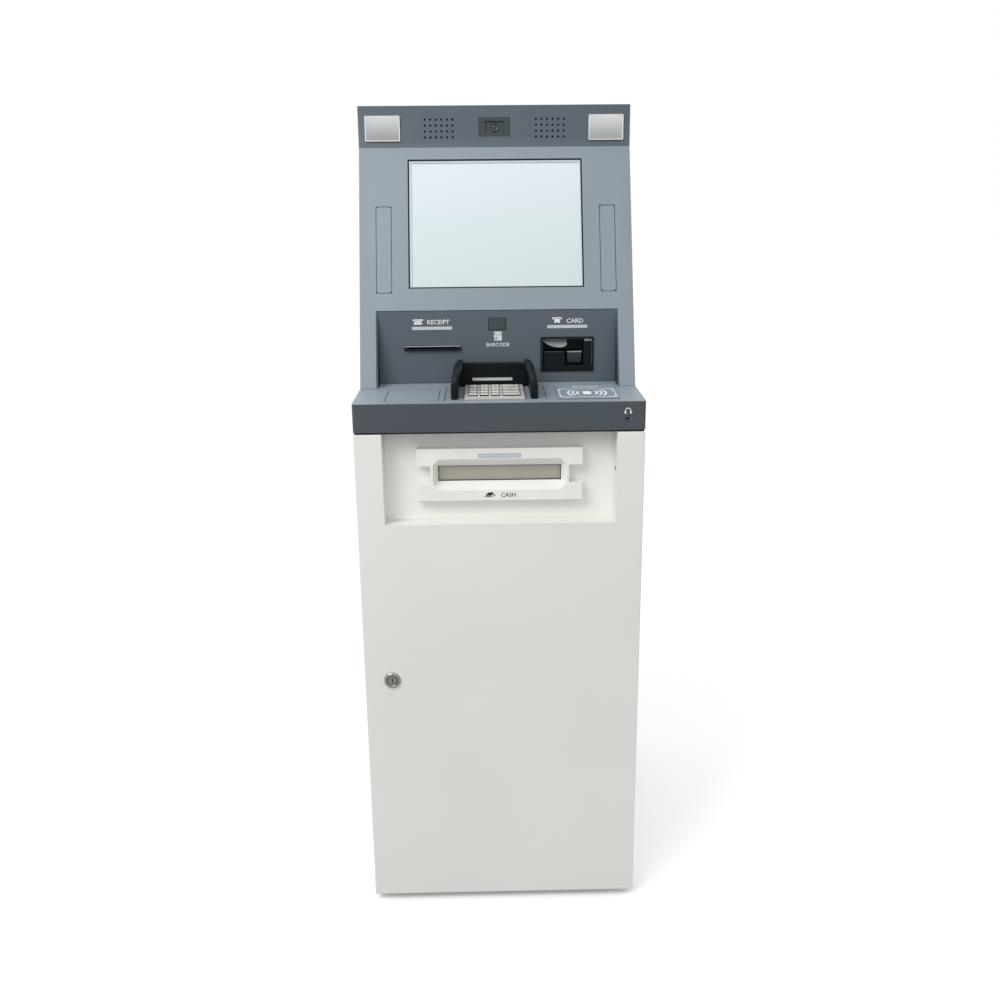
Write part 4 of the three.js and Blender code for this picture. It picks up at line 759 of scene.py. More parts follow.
def moulded(name, code, smooth, rough, grain=1400.0, depth=0.03, worn=1.35, coat=0.0, shine=0.5):
    """Moulded plastic with a fine eroded grain."""

    def build(add):
        colour = tint(code)
        eroded = use(add, "Grain", Scale=grain, Drift=11.0)
        base = mixed(add, eroded["Tone"], shade(colour, 0.95), shade(colour, 1.05))
        edged = mixed(add, use(add, "Edge wear", Radius=0.0008, Amount=0.3)["Mask"], base,
                      shade(colour, worn))
        return {
            "Base Color": mixed(add, use(add, "Dust", Amount=0.02)["Mask"], edged, shade(tint("b9b6ae"))),
            "Roughness": use(add, "Smudges", Scale=22.0, Smooth=smooth, Rough=rough)["Roughness"],
            "Normal": bumped(add, eroded["Height"], depth * MM, 0.5),
            "Specular IOR Level": shine,
            "Coat Weight": coat,
        }

    return surface(name, build)


def black_plastic():
    return moulded("Black moulded plastic", "0d1418", 0.36, 0.48, worn=1.6, shine=0.2)


def grey_plastic():
    return moulded("Grey moulded plastic", "70777d", 0.42, 0.56)


def satin_plastic():
    return moulded("Satin grey plastic", "969da3", 0.2, 0.3, depth=0.006, worn=1.2)


def pale_plastic():
    return moulded("Warm white plastic", "f3f1ec", 0.26, 0.38, worn=1.02)


def smoked_plastic():
    return moulded("Smoked window", "474f54", 0.08, 0.16, depth=0.004, worn=1.2, shine=0.35)


def lens_plastic():
    panel = settings()[1]

    def build(add):
        ribs = add("ShaderNodeTexWave", {
            "Vector": object_point(add),
            "Scale": 190.0,
        }, bands_direction="X")
        return {
            "Base Color": mixed(add, ribs.outputs["Fac"], shade(panel.light, 0.9), shade(panel.light)),
            "Roughness": use(add, "Smudges", Scale=40.0, Smooth=0.22, Rough=0.34)["Roughness"],
            "Normal": bumped(add, ribs.outputs["Fac"], 0.0001, 0.4),
            "Coat Weight": 0.4,
        }

    return surface("Indicator lens", build)


def metal(name, code, smooth, rough, brushing=2400.0, depth=0.02, metallic=1.0, mottle=0.06):
    """Brushed or rolled metal: scratches along X and tone that drifts."""

    def build(add):
        colour = tint(code)
        scratches = use(add, "Brushing", Scale=brushing)["Height"]
        tone = use(add, "Grain", Scale=300.0, Drift=18.0)["Tone"]
        base = mixed(add, tone, shade(colour, 1 - mottle), shade(colour, 1 + mottle))
        return {
            "Base Color": mixed(add, scratches, base, shade(colour, 1.08)),
            "Metallic": metallic,
            "Roughness": use(add, "Smudges", Scale=30.0, Smooth=smooth, Rough=rough)["Roughness"],
            "Normal": bumped(add, scratches, depth * MM, 0.4),
        }

    return surface(name, build)


def zinc():
    """Galvanised sheet, with the crystals that zinc grows."""

    def build(add):
        crystals = add("ShaderNodeTexVoronoi", {"Vector": object_point(add), "Scale": 95.0})
        tone = add("ShaderNodeSeparateColor", {"Color": crystals.outputs["Color"]}).outputs[0]
        base = mixed(add, tone, shade(tint("9ea3a7")), shade(tint("bcc0c3")))
        rough = add("ShaderNodeMapRange", {"Value": tone, "To Min": 0.34, "To Max": 0.5})
        return {
            "Base Color": base,
            "Metallic": 0.9,
            "Roughness": rough.outputs[0],
            "Normal": bumped(add, use(add, "Grain", Scale=700.0)["Height"], 0.00002, 0.4),
        }

    return surface("Galvanised steel", build)


def chrome():
    return metal("Polished nickel", "a9a8a3", 0.16, 0.28, brushing=900.0, depth=0.004, mottle=0.05)


# Brushed steel, only partly metallic with a pale colour: its diffuse share is painted sky reflection.
def key_steel():
    return metal("Brushed key steel with painted sky", "e4e3dc", 0.36, 0.5, metallic=0.45, mottle=0.04)


def shutter_steel():
    return metal("Shutter steel", "bab6a8", 0.38, 0.5, brushing=1500.0, metallic=0.3, mottle=0.07)


def rubber():
    return moulded("Foot rubber", "161616", 0.7, 0.85, grain=900.0, depth=0.06, worn=1.6)


def paper():
    return moulded("Receipt paper", "f4f3ee", 0.8, 0.92, grain=2200.0, depth=0.01, worn=1.0)


def glossy(name, top, foot, low, high, smooth=0.04, rough=0.09):
    """Coated glass whose pale colour, a little lighter at its top than at its foot, is a painted sky
    reflection.
    """

    def build(add):
        place = add("ShaderNodeTexCoord")
        split = add("ShaderNodeSeparateXYZ", {"Vector": place.outputs["Object"]})
        height = add("ShaderNodeMapRange", {"Value": split.outputs["Z"], "From Min": low, "From Max": high})
        return {
            "Base Color": mixed(add, height.outputs[0], shade(tint(foot)), shade(tint(top))),
            "Roughness": use(add, "Smudges", Scale=7.0, Smooth=smooth, Rough=rough)["Roughness"],
            "Coat Weight": 0.6,
            "Coat Roughness": 0.03,
        }

    return surface(name, build)


def mirror_glass():
    def build(add):
        return {
            "Base Color": shade(tint("eceeec")),
            "Metallic": 1.0,
            "Roughness": use(add, "Smudges", Scale=60.0, Smooth=0.015, Rough=0.05)["Roughness"],
        }

    return surface("Convex mirror", build)


def print_ink(name, colour):
    def build(add):
        worn = use(add, "Grain", Scale=1200.0, Drift=160.0)
        return {
            "Base Color": mixed(add, worn["Tone"], shade(colour, 0.93), shade(colour, 1.0)),
            "Roughness": use(add, "Smudges", Scale=80.0, Smooth=0.45, Rough=0.6)["Roughness"],
        }

    return surface(name, build)


def white_ink():
    return print_ink("White print", settings()[1].print_white)


def dark_ink():
    return print_ink("Dark print", settings()[1].print_dark)


# Small fittings that several pieces share


def screw_head(diameter):
    """A pan head with a cross recess, its seat at Z 0."""
    radius = diameter / 2
    dome = turned([
        (0, -0.4), (radius, -0.4), (radius, 0.3), (radius * 0.92, radius * 0.35),
        (radius * 0.6, radius * 0.55), (0, radius * 0.6),
    ], 20)
    arm, reach = radius * 0.14, radius * 0.55
    quarter = [(arm, -reach), (arm, -arm), (reach, -arm)]
    turns = [(1, 0), (0, 1), (-1, 0), (0, -1)]
    outline = [(x * c - y * s, x * s + y * c) for c, s in turns for x, y in quarter]
    return combined(dome, outline_block(outline, radius * 0.2, radius))


def screws(name, body, place, columns, rows, pitch_x, pitch_y):
    diameter = settings()[2].screw_diameter / MM
    steel = zinc()
    heads = in_grid(screw_head(diameter), steel, columns, rows, pitch_x, pitch_y)
    return piece(name, heads, steel, body, place)


def sign(name, text, height, body, place, ink_material):
    return piece(name, lettering(text, height, 0.008), ink_material, body, place)


def indicator(name, width, body, place, height=None):
    """An indicator light: a lens with rounded edges in a thin rim."""
    height = height or settings()[1].light_height / MM
    lens = soften(slab(width, height, -0.5, 0.9, 0.7), 0.3)
    rim = soften(frame_ring(width + 0.9, height + 0.9, 0.42, -0.3, 0.25, 0.9), 0.08, 1)
    piece(name, lens, lens_plastic(), body, place)
    return piece(name + "_rim", rim, grey_plastic(), body, place)


class CashOperator:
    """What every step of the machine shares."""

    bl_options = {"REGISTER", "UNDO"}


class CASH_OT_cabinet(CashOperator, bpy.types.Operator):
    """Cabinet shell with rounded folds, rear fittings and rubber feet"""

    bl_idname = "cash_machine.cabinet"
    bl_label = "Cabinet"

    def execute(self, context):
        finished("cabinet_shell", white_paint(), 0.35, [(1.7, on_box("cabinet_shell"))])
        for side in ("front_left", "front_right", "rear_left", "rear_right"):
            finished("foot_" + side, rubber(), 0.7, segments=3)
        back = face_of("cabinet_shell", BACK)
        low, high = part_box("cabinet_shell")
        width, height = ((high - low) / MM).xz
        # Thin black slabs on the back: painted shade in the vent slots.
        slot = slab(width * 0.09, 3, -0.25, 0.1, 1.4, 4)
        vent_shade = in_grid(slot, black_plastic(), 4, 8, width * 0.12, 9)
        piece("cabinet_vent_shade", vent_shade, black_plastic(), "cabinet",
              spot(back, across=0, up=height * 0.38))
        inlet = combined(soften(slab(50, 28, -2, 3, 2), 0.6), slab(27, 19, 0.6, 6, 3))
        pins = in_grid(slab(2, 5, 0.5, 2.4, 0.2, 1), zinc(), 3, 1, 7, 1)
        low_spot = spot(back, across=width * 0.3, up=-height * 0.4)
        piece("power_inlet", inlet, black_plastic(), "cabinet", low_spot)
        piece("power_inlet_pins", pins, zinc(), "cabinet", low_spot)
        screws("power_inlet_screws", "cabinet", low_spot @ move(z=3 * MM), 2, 1, 40, 1)
        screws("cabinet_back_screws", "cabinet", back, 2, 6, width - 28, (height - 60) / 5)
        return {"FINISHED"}


class CASH_OT_front_door(CashOperator, bpy.types.Operator):
    """Front door with its recess, hinge rod and ringed lock"""

    bl_idname = "cash_machine.front_door"
    bl_label = "Front door"

    def execute(self, context):
        low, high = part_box("front_door")
        bm = node_mesh("front_door")
        soften(bm, 1.8 * MM, 4, 40, on_box("front_door"))
        soften(bm, 1.4 * MM, 4, 40, on_plane("y", low.y))
        front_half, hinge_side = low.y + 1 * MM, high.x - 20 * MM
        soften(bm, 0.4 * MM, 2, 40,
               lambda e: all(v.co.x < hinge_side or v.co.y < front_half for v in e.verts))
        piece("front_door_finished", bm, white_paint(), "front_door",
              stands_for=["front_door"], metric=True)
        finished("door_hinge_rod", zinc(), 0.6)
        self.lock()
        return {"FINISHED"}

    def lock(self):
        low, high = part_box("door_lock_barrel")
        front = face_of("door_lock_barrel")
        centre = middle("door_lock_barrel")
        length = (high.y - low.y) / MM
        radius = (high.x - low.x) / MM / 2
        bore = 8.3
        barrel = turned([
            (bore, -length), (radius - 2.5, -length), (radius - 2.5, -4), (radius, -3.6), (radius, -1.6),
            (radius - 1.2, -0.3), (radius - 2.4, 0), (bore + 1.8, 0), (bore + 0.9, -0.5), (bore, -1.5),
            (bore, -length),
        ], 64)
        bmesh.ops.remove_doubles(barrel, verts=barrel.verts, dist=0.001)
        place = spot(front, centre)
        piece("door_lock_ring", barrel, chrome(), "front_door", place,
              stands_for=["door_lock_barrel"])
        plug_low, plug_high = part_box("door_lock_plug")
        depth = (plug_high.y - plug_low.y) / MM
        disc = turned([
            (0, -12), (8, -12), (8, -1.2), (7.4, -0.6), (5.8, -0.5), (5.5, -1.0), (4.9, -1.0), (4.6, -0.4),
            (0, -0.2),
        ], 48)
        disc = combined(disc, slab(2.0, 8.4, -9, 4, 0.4))
        neck = turned([(0, -depth + 1), (4, -depth + 1), (4, -11.5), (0, -11.5)], 32)
        reach, half_width = (plug_high.z - centre.z) / MM, 6.9
        cam = soften(slab(2 * half_width, reach + half_width, -depth, -depth + 2.5, half_width - 0.1, 8), 0.4)
        cam.transform(move(y=(reach - half_width) / 2))
        # A black block in the keyhole: painted shade in the keyway.
        keyway_shade = slab(1.8, 8.0, -8.8, -1.4, 0.4)
        piece("door_lock_keyway_shade", keyway_shade, black_plastic(), "door_lock", place)
        plug = merged(disc, neck, cam)
        piece("door_lock_key_plug", plug, chrome(), "door_lock", place,
              stands_for=["door_lock_plug"])


class CASH_OT_cash_outlet(CashOperator, bpy.types.Operator):
    """Cash recess plate, shutter and the funnelled bezel with its light and sign"""

    bl_idname = "cash_machine.cash_outlet"
    bl_label = "Cash outlet"

    def execute(self, context):
        panel = settings()[1]
        # The cash plate takes the lighter white: painted light against the recess's shade.
        finished("cash_panel", bright_paint(), 0.35)
        finished("shutter_plate", shutter_steel(), 0.3)
        finished("shutter_bezel", pale_plastic(), 1.0, segments=3)
        plate = face_of("cash_panel")
        opening = Vector((middle("shutter_bezel").x, 0, middle("shutter_bezel").z))
        seal = frame_ring(OUTLET_WIDTH, OUTLET_HEIGHT, 0.9, -1.8, 0.1, 0.6)
        piece("shutter_seal", seal, rubber(), "front_door", spot(plate, opening))
        dot = turned([(0, -0.3), (2.6, -0.3), (2.6, 0.5), (2.0, 0.9), (0, 0.9)], 24)
        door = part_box("front_door")[0].y
        wall = Matrix.Translation((RECESS_HALF * MM, door + 13 * MM, 0.798)) @ turn(-90, "Y")
        piece("recess_plug", dot, black_plastic(), "front_door", wall)
        front = face_of("shutter_bezel")
        low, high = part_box("shutter_bezel")
        centre = middle("shutter_bezel")
        half = (high.z - low.z) / MM / 2
        indicator("cash_light", 69, "front_door", spot(front, centre, up=half - 12))
        height = panel.sign_height / MM - 0.6
        sign("cash_sign", "CASH", height, "front_door",
             spot(front, centre, across=2, up=-half + 5.5), dark_ink())
        notes = ink(
            [(0, 2.2), (9.6, 2.2), (11.8, 4.2), (14.2, 7.8), (5.2, 7.8), (2.4, 5.6)],
            [(-1.8, 0), (9.4, 0), (10.8, 1.3), (-0.6, 1.3)],
            [(11.4, 0.9), (14.0, 0.9), (16.2, 4.4), (14.6, 4.8)],
        )
        piece("cash_symbol", notes, dark_ink(), "front_door",
              spot(front, centre, across=-24, up=-half + 5.6))
        return {"FINISHED"}


class CASH_OT_console(CashOperator, bpy.types.Operator):
    """Console with its panel seams, jack and headphone sign"""

    bl_idname = "cash_machine.console"
    bl_label = "Console"

    def execute(self, context):
        panel = settings()[1]
        low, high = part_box("console_shell")
        shelf = face_of("console_shell", UP)
        keypad = middle("keypad_plate")
        seam = panel.seam / MM
        insert_blank = (88, 79, spot(shelf, keypad, across=-134.5, up=-7.5))
        insert_keypad = (166, 104, spot(shelf, keypad, across=1.5, up=0.5))
        grooves, bars, fillers = [], [], []
        for width, depth, place in (insert_blank, insert_keypad):
            rear = depth / 2 - seam - 1.3
            grooves.append((frame_ring(width, depth, seam, -1.4, 2, 1.5), place @ TO_MM))
            bars.append((outline_block(bar(3 - width / 2, rear, width - 6, 1.7), -1.3, 2), place @ TO_MM))
            filler = frame_ring(width - 0.1, depth - 0.1, seam - 0.1, -1.35, -0.4, 1.5)
            fillers.append((filler, place @ TO_MM))
            fillers.append((outline_block(bar(3.1 - width / 2, rear + 0.05, width - 6.2, 1.15), -1.25, -0.4),
                            place @ TO_MM))
        seams = merged(*grooves)
        piece("console_seams", merged(*fillers), rubber(), "cabinet", metric=True)
        front = on_plane("y", low.y)
        folds = [
            (4.0, lambda e: front(e) and abs(e.verts[0].co.z - e.verts[1].co.z) > 10 * MM),
            (2.2, front),
            (1.2, on_box("console_shell")),
        ]
        bm = node_mesh("console_shell")
        for radius, pick in folds:
            soften(bm, radius * MM, 4, 40, pick)
        bm = combined(combined(bm, seams), merged(*bars))
        # Upright front faces take the darker coat: painted shade on the console's front.
        for face in bm.faces:
            upright = abs(face.normal.z) < 0.6 and face.normal.y < -0.5
            face.material_index = int(upright and face.calc_center_median().y < low.y + 6 * MM)
        piece("console_shell_finished", bm, [grey_paint(), front_paint()], "cabinet",
              stands_for=["console_shell"], metric=True)
        self.seal(low, high)
        self.jack()
        return {"FINISHED"}

    def seal(self, low, high):
        """A dark strip under the console, above the front door: painted shadow of the gap between them."""
        width = (high.x - low.x) / MM - 4
        strip = soften(slab(width, 19, -2.6, 0.2, 1.0), 0.3)
        under = Matrix.Translation(((low.x + high.x) / 2, low.y + 10.6 * MM, low.z))
        piece("console_shadow_strip", strip, rubber(), "cabinet", under)

    def jack(self):
        low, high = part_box("headphone_jack")
        front = face_of("headphone_jack")
        centre = middle("headphone_jack")
        radius = (high.x - low.x) / MM / 2
        depth = (high.y - low.y) / MM
        socket = turned([
            (0, -depth), (radius, -depth), (radius, -0.4), (radius - 0.5, 0.2), (radius - 1.4, 0.3),
            (2.3, -0.2), (1.9, -0.9), (1.9, -depth + 2), (0, -depth + 2),
        ], 40)
        piece("headphone_socket", socket, smoked_plastic(), "cabinet", spot(front, centre),
              stands_for=["headphone_jack"])
        ears = ink(
            arc_band(4.7, 1.2, -10, 190, (0, 0), 16),
            [(x - 4.4, y - 2.6) for x, y in rounded(2.6, 4.6, 1.1, 3)],
            [(x + 4.4, y - 2.6) for x, y in rounded(2.6, 4.6, 1.1, 3)],
        )
        face = face_of("console_shell")
        piece("headphone_sign", ears, white_ink(), "cabinet",
              spot(face, centre, up=13, out=0.02))


class CASH_OT_keypad(CashOperator, bpy.types.Operator):
    """Steel keypad plate and sixteen keys with their legends"""

    bl_idname = "cash_machine.keypad"
    bl_label = "Keypad"

    legends = {
        **{str(digit): str(digit) for digit in range(10)},
        "star": "*", "hash": "#", "cancel": "CANCEL", "clear": "CLEAR", "enter": "ENTER",
    }

    def execute(self, context):
        # The plate and the keys take the steel with painted sky reflection.
        finished("keypad_plate", key_steel(), 0.35, segments=3)
        face = face_of("keypad_plate", UP)
        gap_shadows = [self.key(body, face) for body in frame["bodies"] if body.startswith("key_")]
        # The dark rings round the keys, merged: painted shadow in the gaps.
        piece("keypad_gap_shadows", merged(*gap_shadows), rubber(), "cabinet", metric=True)
        return {"FINISHED"}

    def key(self, node, plate):
        low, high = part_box(node)
        centre = middle(node)
        width = (high.x - low.x) / MM
        inverse = spot(plate, centre).inverted()
        points = [inverse @ v.co for v in frame["nodes"][node].data.vertices]
        depth = (max(p.y for p in points) - min(p.y for p in points)) / MM
        foot = min(p.z for p in points) / MM
        rise = max(p.z for p in points) / MM
        shift = (max(p.y for p in points) + min(p.y for p in points)) / 2 / MM
        levels = [(0, foot), (0, rise - 1.5), (0.25, rise - 0.9), (0.8, rise - 0.25), (1.4, rise)]
        rings = [
            [(x, y + shift, z) for x, y in rounded(width - 2 * inset, depth - 2 * inset, 1.6 - inset / 2)]
            for inset, z in levels
        ]
        rings.append([(x, y + shift, rise - 0.35)
                      for x, y in rounded(width - 5.5, depth - 5.5, 1.2)])
        place = spot(plate, centre)
        cap = lofted(rings)
        # Faces below the top take black plastic: painted shade on the keys' fronts and sides.
        for each in cap.faces:
            each.material_index = int(each.calc_center_median().z < rise - 1.1)
        piece(node + "_cap", cap, [key_steel(), black_plastic()], node, place,
              stands_for=[node])
        name = node.removeprefix("key_")
        if name in self.legends:
            text = self.legends[name]
            mark = lettering(text, 4.8 if len(text) == 1 and text != "*" else 3.0, 0.004)
            xs = [v.co.x for v in mark.verts]
            ys = [v.co.y for v in mark.verts]
            mark.transform(move(-(max(xs) + min(xs)) / 2, -(max(ys) + min(ys)) / 2 + shift, rise - 0.36))
            piece(node + "_legend", mark, dark_ink(), node, place)
        # A dark ring in the gap round each key: painted shadow of the gap.
        gap = frame_ring(width + 1.0, depth + 1.0, 0.45, -0.3, 0.1, 2.0)
        gap.transform(move(y=shift))
        return gap, place @ TO_MM


class CASH_OT_privacy_shield(CashOperator, bpy.types.Operator):
    """Privacy shield: two curved fins that lean together and a stepped back wall"""

    bl_idname = "cash_machine.privacy_shield"
    bl_label = "Privacy shield"

    def execute(self, context):
        shelf = face_of("console_shell", UP)
        mesh = frame["nodes"]["privacy_shield"].data
        inverse = shelf.inverted()
        points = [inverse @ v.co for v in mesh.vertices]
        low = Vector([min(p[i] for p in points) for i in range(3)]) / MM
        high = Vector([max(p[i] for p in points) for i in range(3)]) / MM
        place = spot(shelf) @ move(*((low.xy + high.xy) / 2 * MM).to_3d())
        half, depth = (high.x - low.x) / 2, high.y - low.y
        fins = [self.fin(side, half, depth, low.z, high.z) for side in (-1, 1)]
        wall = self.wall(half, depth, low.z, high.z - 5)
        shield = combined(combined(fins[0], fins[1], "UNION"), wall, "UNION")
        bmesh.ops.remove_doubles(shield, verts=shield.verts, dist=0.002)
        piece("privacy_shield_moulding", shield, black_plastic(), "cabinet", place,
              stands_for=["privacy_shield"], sharp=38)
        bar_place = place @ move(x=-2.5 * MM, y=(depth / 2 - 12) * MM, z=13 * MM) @ turn(90, "X")
        indicator("shield_light", 68, "cabinet", bar_place, 4.6)
        return {"FINISHED"}

    lean = 15.5
    lean_inside = 18.5
    wall_thickness = 12
    front_round = 28

    def outer(self, share):
        """How far in a fin's outer face has come at a share of its height."""
        return self.lean * (1 - math.sqrt(max(0.0, 1 - share ** 4)))

    def inner(self, share):
        """How far in its inner face has come."""
        return self.wall_thickness + (self.lean_inside - self.wall_thickness) * share ** 3

    def fin(self, side, half, depth, foot, top):
        """One fin, lofted upwards: a post that arches in to a thin tip, its front edge curved back."""
        steps = 26
        rings = []
        for i in range(steps + 1):
            share = math.sin(math.radians(90) * i / steps)
            z = foot + (top - foot) * share
            over = max(0.0, z - (top - self.front_round))
            front = -depth / 2 + self.front_round - math.sqrt(self.front_round ** 2 - over ** 2)
            outside, inside = half - self.outer(share), half - self.inner(share)
            radius = (outside - inside) / 2
            nose = [
                (side * (outside - radius - radius * math.cos(math.radians(a))),
                 front + radius - radius * math.sin(math.radians(a)))
                for a in range(0, 181, 15)
            ]
            rings.append([
                *((x, y, z) for x, y in nose),
                (side * outside, depth / 2, z),
                (side * inside, depth / 2, z),
            ])
        bm = lofted(rings)
        bmesh.ops.recalc_face_normals(bm, faces=bm.faces)
        return bm

    def wall(self, half, depth, foot, top):
        """The back wall between the fins, with a groove and fillets that sweep up to the tips."""
        sweep, rise, steps = 8.5, 4.6, 8
        shares = [i / steps for i in range(steps)] + [0.97]
        flank = [(half - (self.outer(t) + self.inner(t)) / 2, foot + (top + rise - foot) * t) for t in shares]
        reach = flank[-1][0]
        edge = [(reach - sweep * (1 - t), top + rise * t ** 2) for t in (0.75, 0.5, 0.25, 0)]
        right = [*flank, *edge]
        outline = [*right, *((-x, z) for x, z in reversed(right))]
        body = self.upright(outline_block(outline, depth / 2 - self.wall_thickness, depth / 2 - 0.05))
        soften(body, 1.0, 3, 35, lambda e: min(v.co.z for v in e.verts) > top - 0.1)
        groove = outline_block(bar(-reach * 0.86, top - 9.5, reach * 1.72, 0.9),
                               depth / 2 - self.wall_thickness - 2, depth / 2 - self.wall_thickness + 0.8)
        return combined(body, self.upright(groove))

    def upright(self, bm):
        """Stands a block up that was drawn lying down."""
        bm.transform(Matrix(((1, 0, 0, 0), (0, 0, 1, 0), (0, 1, 0, 0), (0, 0, 0, 1))))
        bmesh.ops.recalc_face_normals(bm, faces=bm.faces)
        return bm


class CASH_OT_contactless(CashOperator, bpy.types.Operator):
    """Contactless card pad with its printed frame, bar and card sign"""

    bl_idname = "cash_machine.contactless"
    bl_label = "Contactless pad"

    def execute(self, context):
        top = face_of("contactless_pad", UP)
        bm = node_mesh("contactless_pad")
        soften(bm, 1.6 * MM, 4, 40, lambda e: abs((e.verts[0].co - e.verts[1].co).z) > 0.8 * MM
               and abs((e.verts[0].co - e.verts[1].co).y) < 0.8 * MM)
        soften(bm, 0.35 * MM)
        piece("contactless_plate", bm, grey_paint(), "cabinet",
              stands_for=["contactless_pad"], metric=True)
        width, depth, band = 93, 59, 2.2
        marks = []
        for sx in (-1, 1):
            for sy in (-1, 1):
                corner = arc_band(8, band, 0, 90, (width / 2 - 8, depth / 2 - 8))
                arm = bar(width / 2 - 16, depth / 2 - band, 8, band)
                leg = bar(width / 2 - band, depth / 2 - 16, band, 8)
                marks += [[(sx * x, sy * y) for x, y in shape] for shape in (corner, arm, leg)]
        for side in (-1, 1):
            for radius in (18, 25.5, 33):
                marks.append([(side * x, y) for x, y in arc_band(radius, 3.0, -37, 37, (0, 0), 12)])
            marks.append(bar(-width / 2 + 16, side * (depth / 2 - 0.5) - 0.5, width - 32, 1.0))
            marks.append(bar(side * (width / 2 - 0.5) - 0.5, -depth / 2 + 16, 1.0, depth - 32))
        marks.append(rounded(13.5, 20, 2.6))
        indicator("contactless_light", 45, "cabinet", spot(top, up=depth / 2 + 1), 7.5)
        piece("contactless_sign", ink(*marks), white_ink(), "cabinet",
              spot(top, out=0.01, up=-10.5))
        return {"FINISHED"}


class CASH_OT_head(CashOperator, bpy.types.Operator):
    """Head casing, bent fascia with speaker holes, and the blanks beside the screen"""

    bl_idname = "cash_machine.head"
    bl_label = "Head"

    def execute(self, context):
        panel = settings()[1]
        finished("head_casing", grey_paint(), 0.35, [(1.6, on_box("head_casing"))])
        camera = middle("camera_module")
        strip = face_of("mirror_left")
        hole = turned([
            (0, -9), (panel.hole_diameter / MM / 2, -9), (panel.hole_diameter / MM / 2, 9), (0, 9)
        ], 14)
        drills = []
        for side in (-1, 1):
            bank = in_grid(hole.copy(), black_plastic(), panel.hole_columns, panel.hole_rows,
                           panel.hole_pitch / MM, panel.hole_pitch / MM)
            drills.append((bank, spot(strip, camera, across=side * 96, up=-2) @ TO_MM))
        hole.free()
        low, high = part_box("head_fascia")
        sides = [on_plane("x", low.x), on_plane("x", high.x)]
        bm = node_mesh("head_fascia")
        soften(bm, 1.1 * MM, 3, 40, lambda e: any(side(e) for side in sides)
               and (e.verts[0].co - e.verts[1].co).length > 20 * MM)
        soften(bm, 0.45 * MM)
        bm = combined(bm, merged(*drills))
        fold = self.strip_foot(bm)
        # Faces above the fold, on the upright strip, take the darker grey: painted shade.
        for face in bm.faces:
            face.material_index = int(face.calc_center_median().z > fold)
        piece("head_fascia_finished", bm, [grey_paint(), dark_paint()], "cabinet",
              stands_for=["head_fascia"], metric=True)
        cloth = soften(slab(70, 45, -6, -5.4, 2), 0.2, 1)
        for name, side in (("speaker_left", -1), ("speaker_right", 1)):
            piece(name, cloth.copy(), black_plastic(), "cabinet",
                  spot(strip, camera, across=side * 96, up=-2))
        cloth.free()
        for side in ("left", "right"):
            node = "key_blank_" + side
            face = face_of(node)
            turn_back = face.inverted()
            bm = node_mesh(node)
            soften(bm, 5 * MM, 5, 40, self.plug_corner(turn_back))
            soften(bm, 0.5 * MM)
            piece(node + "_finished", bm, grey_paint(), "cabinet", stands_for=[node],
                  metric=True)
            points = [turn_back @ v.co for v in frame["nodes"][node].data.vertices]
            flush = [p for p in points if p.z > -1 * MM]
            seal = frame_ring(
                (max(p.x for p in flush) - min(p.x for p in flush)) / MM + 1.2,
                (max(p.y for p in flush) - min(p.y for p in flush)) / MM + 1.2, 1.0, -0.6, 0.1, 5.2,
            )
            piece("blank_seal_" + side, seal, rubber(), "cabinet", face)
        return {"FINISHED"}

    def strip_foot(self, bm):
        """Height of the fold under the strip: the strip leans least of the large faces."""
        faces = [f for f in bm.faces if f.normal.y < -0.99 and f.calc_area() > 1e-3]
        return min(v.co.z for f in faces for v in f.verts) - 0.1 * MM

    def plug_corner(self, turn_back):
        """Picks the short edges of the plug that run in from its face."""

        def pick(edge):
            ends = [turn_back @ v.co for v in edge.verts]
            along = ends[0] - ends[1]
            return abs(along.z) > 2 * MM and along.xy.length < 0.2 * MM and max(e.z for e in ends) > -1 * MM

        return pick


class CASH_OT_display(CashOperator, bpy.types.Operator):
    """Screen glass, its thin frame and the display module behind"""

    bl_idname = "cash_machine.display"
    bl_label = "Display"

    def execute(self, context):
        low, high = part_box("display_glass")
        # The glass's pale colour, lighter towards the top, is painted sky reflection.
        glass = glossy("Display glass with painted sky", "dde6ec", "cfdadb", low.z, high.z)
        finished("display_glass", glass, 0.4)
        face = face_of("display_glass")
        fascia = face_of("head_fascia")
        width, height = self.aperture()
        gap = (spot(fascia, middle("display_glass")).translation - face.translation).length / MM
        # The frame sits 1 mm right and 1 mm low, so the dark gasket shows only along the top and left:
        # painted shadow of the opening's edge.
        rim = soften(frame_ring(width - 3.0, height - 3.0, 3.4, 0.05, 1.3, 0.6), 0.4)
        piece("display_frame", rim, moulded("Screen frame", "c9cfd6", 0.2, 0.3, depth=0.005), "cabinet",
              face @ move(x=1.0 * MM, y=-1.0 * MM))
        shadow_gasket = frame_ring(width + 6, height + 6, 5.6, 0.02, min(gap, 3) - 1.6, 0.6)
        piece("display_shadow_gasket", shadow_gasket, rubber(), "cabinet", face)
        finished("lcd_module", zinc(), 0.8, segments=3)
        behind = face_of("lcd_module", BACK)
        screws("lcd_module_screws", "cabinet", behind, 2, 2, width - 10, height - 10)
        board = soften(slab(150, 90, 0.2, 4, 2), 0.5)
        chips = in_grid(soften(slab(14, 14, 4, 6.5, 0.6, 2), 0.3, 1), black_plastic(), 4, 2, 32, 40)
        piece("display_board", board, moulded("Circuit board", "1f4a35", 0.35, 0.5), "cabinet",
              behind)
        piece("display_chips", chips, black_plastic(), "cabinet", behind)
        return {"FINISHED"}

    def aperture(self):
        """Width and height of the opening in the fascia: the glass less its hidden margin."""
        face = face_of("display_glass")
        inverse = face.inverted()
        points = [inverse @ v.co for v in frame["nodes"]["display_glass"].data.vertices]
        margin = 9
        return (
            (max(p.x for p in points) - min(p.x for p in points)) / MM - 2 * margin,
            (max(p.y for p in points) - min(p.y for p in points)) / MM - 2 * margin,
        )


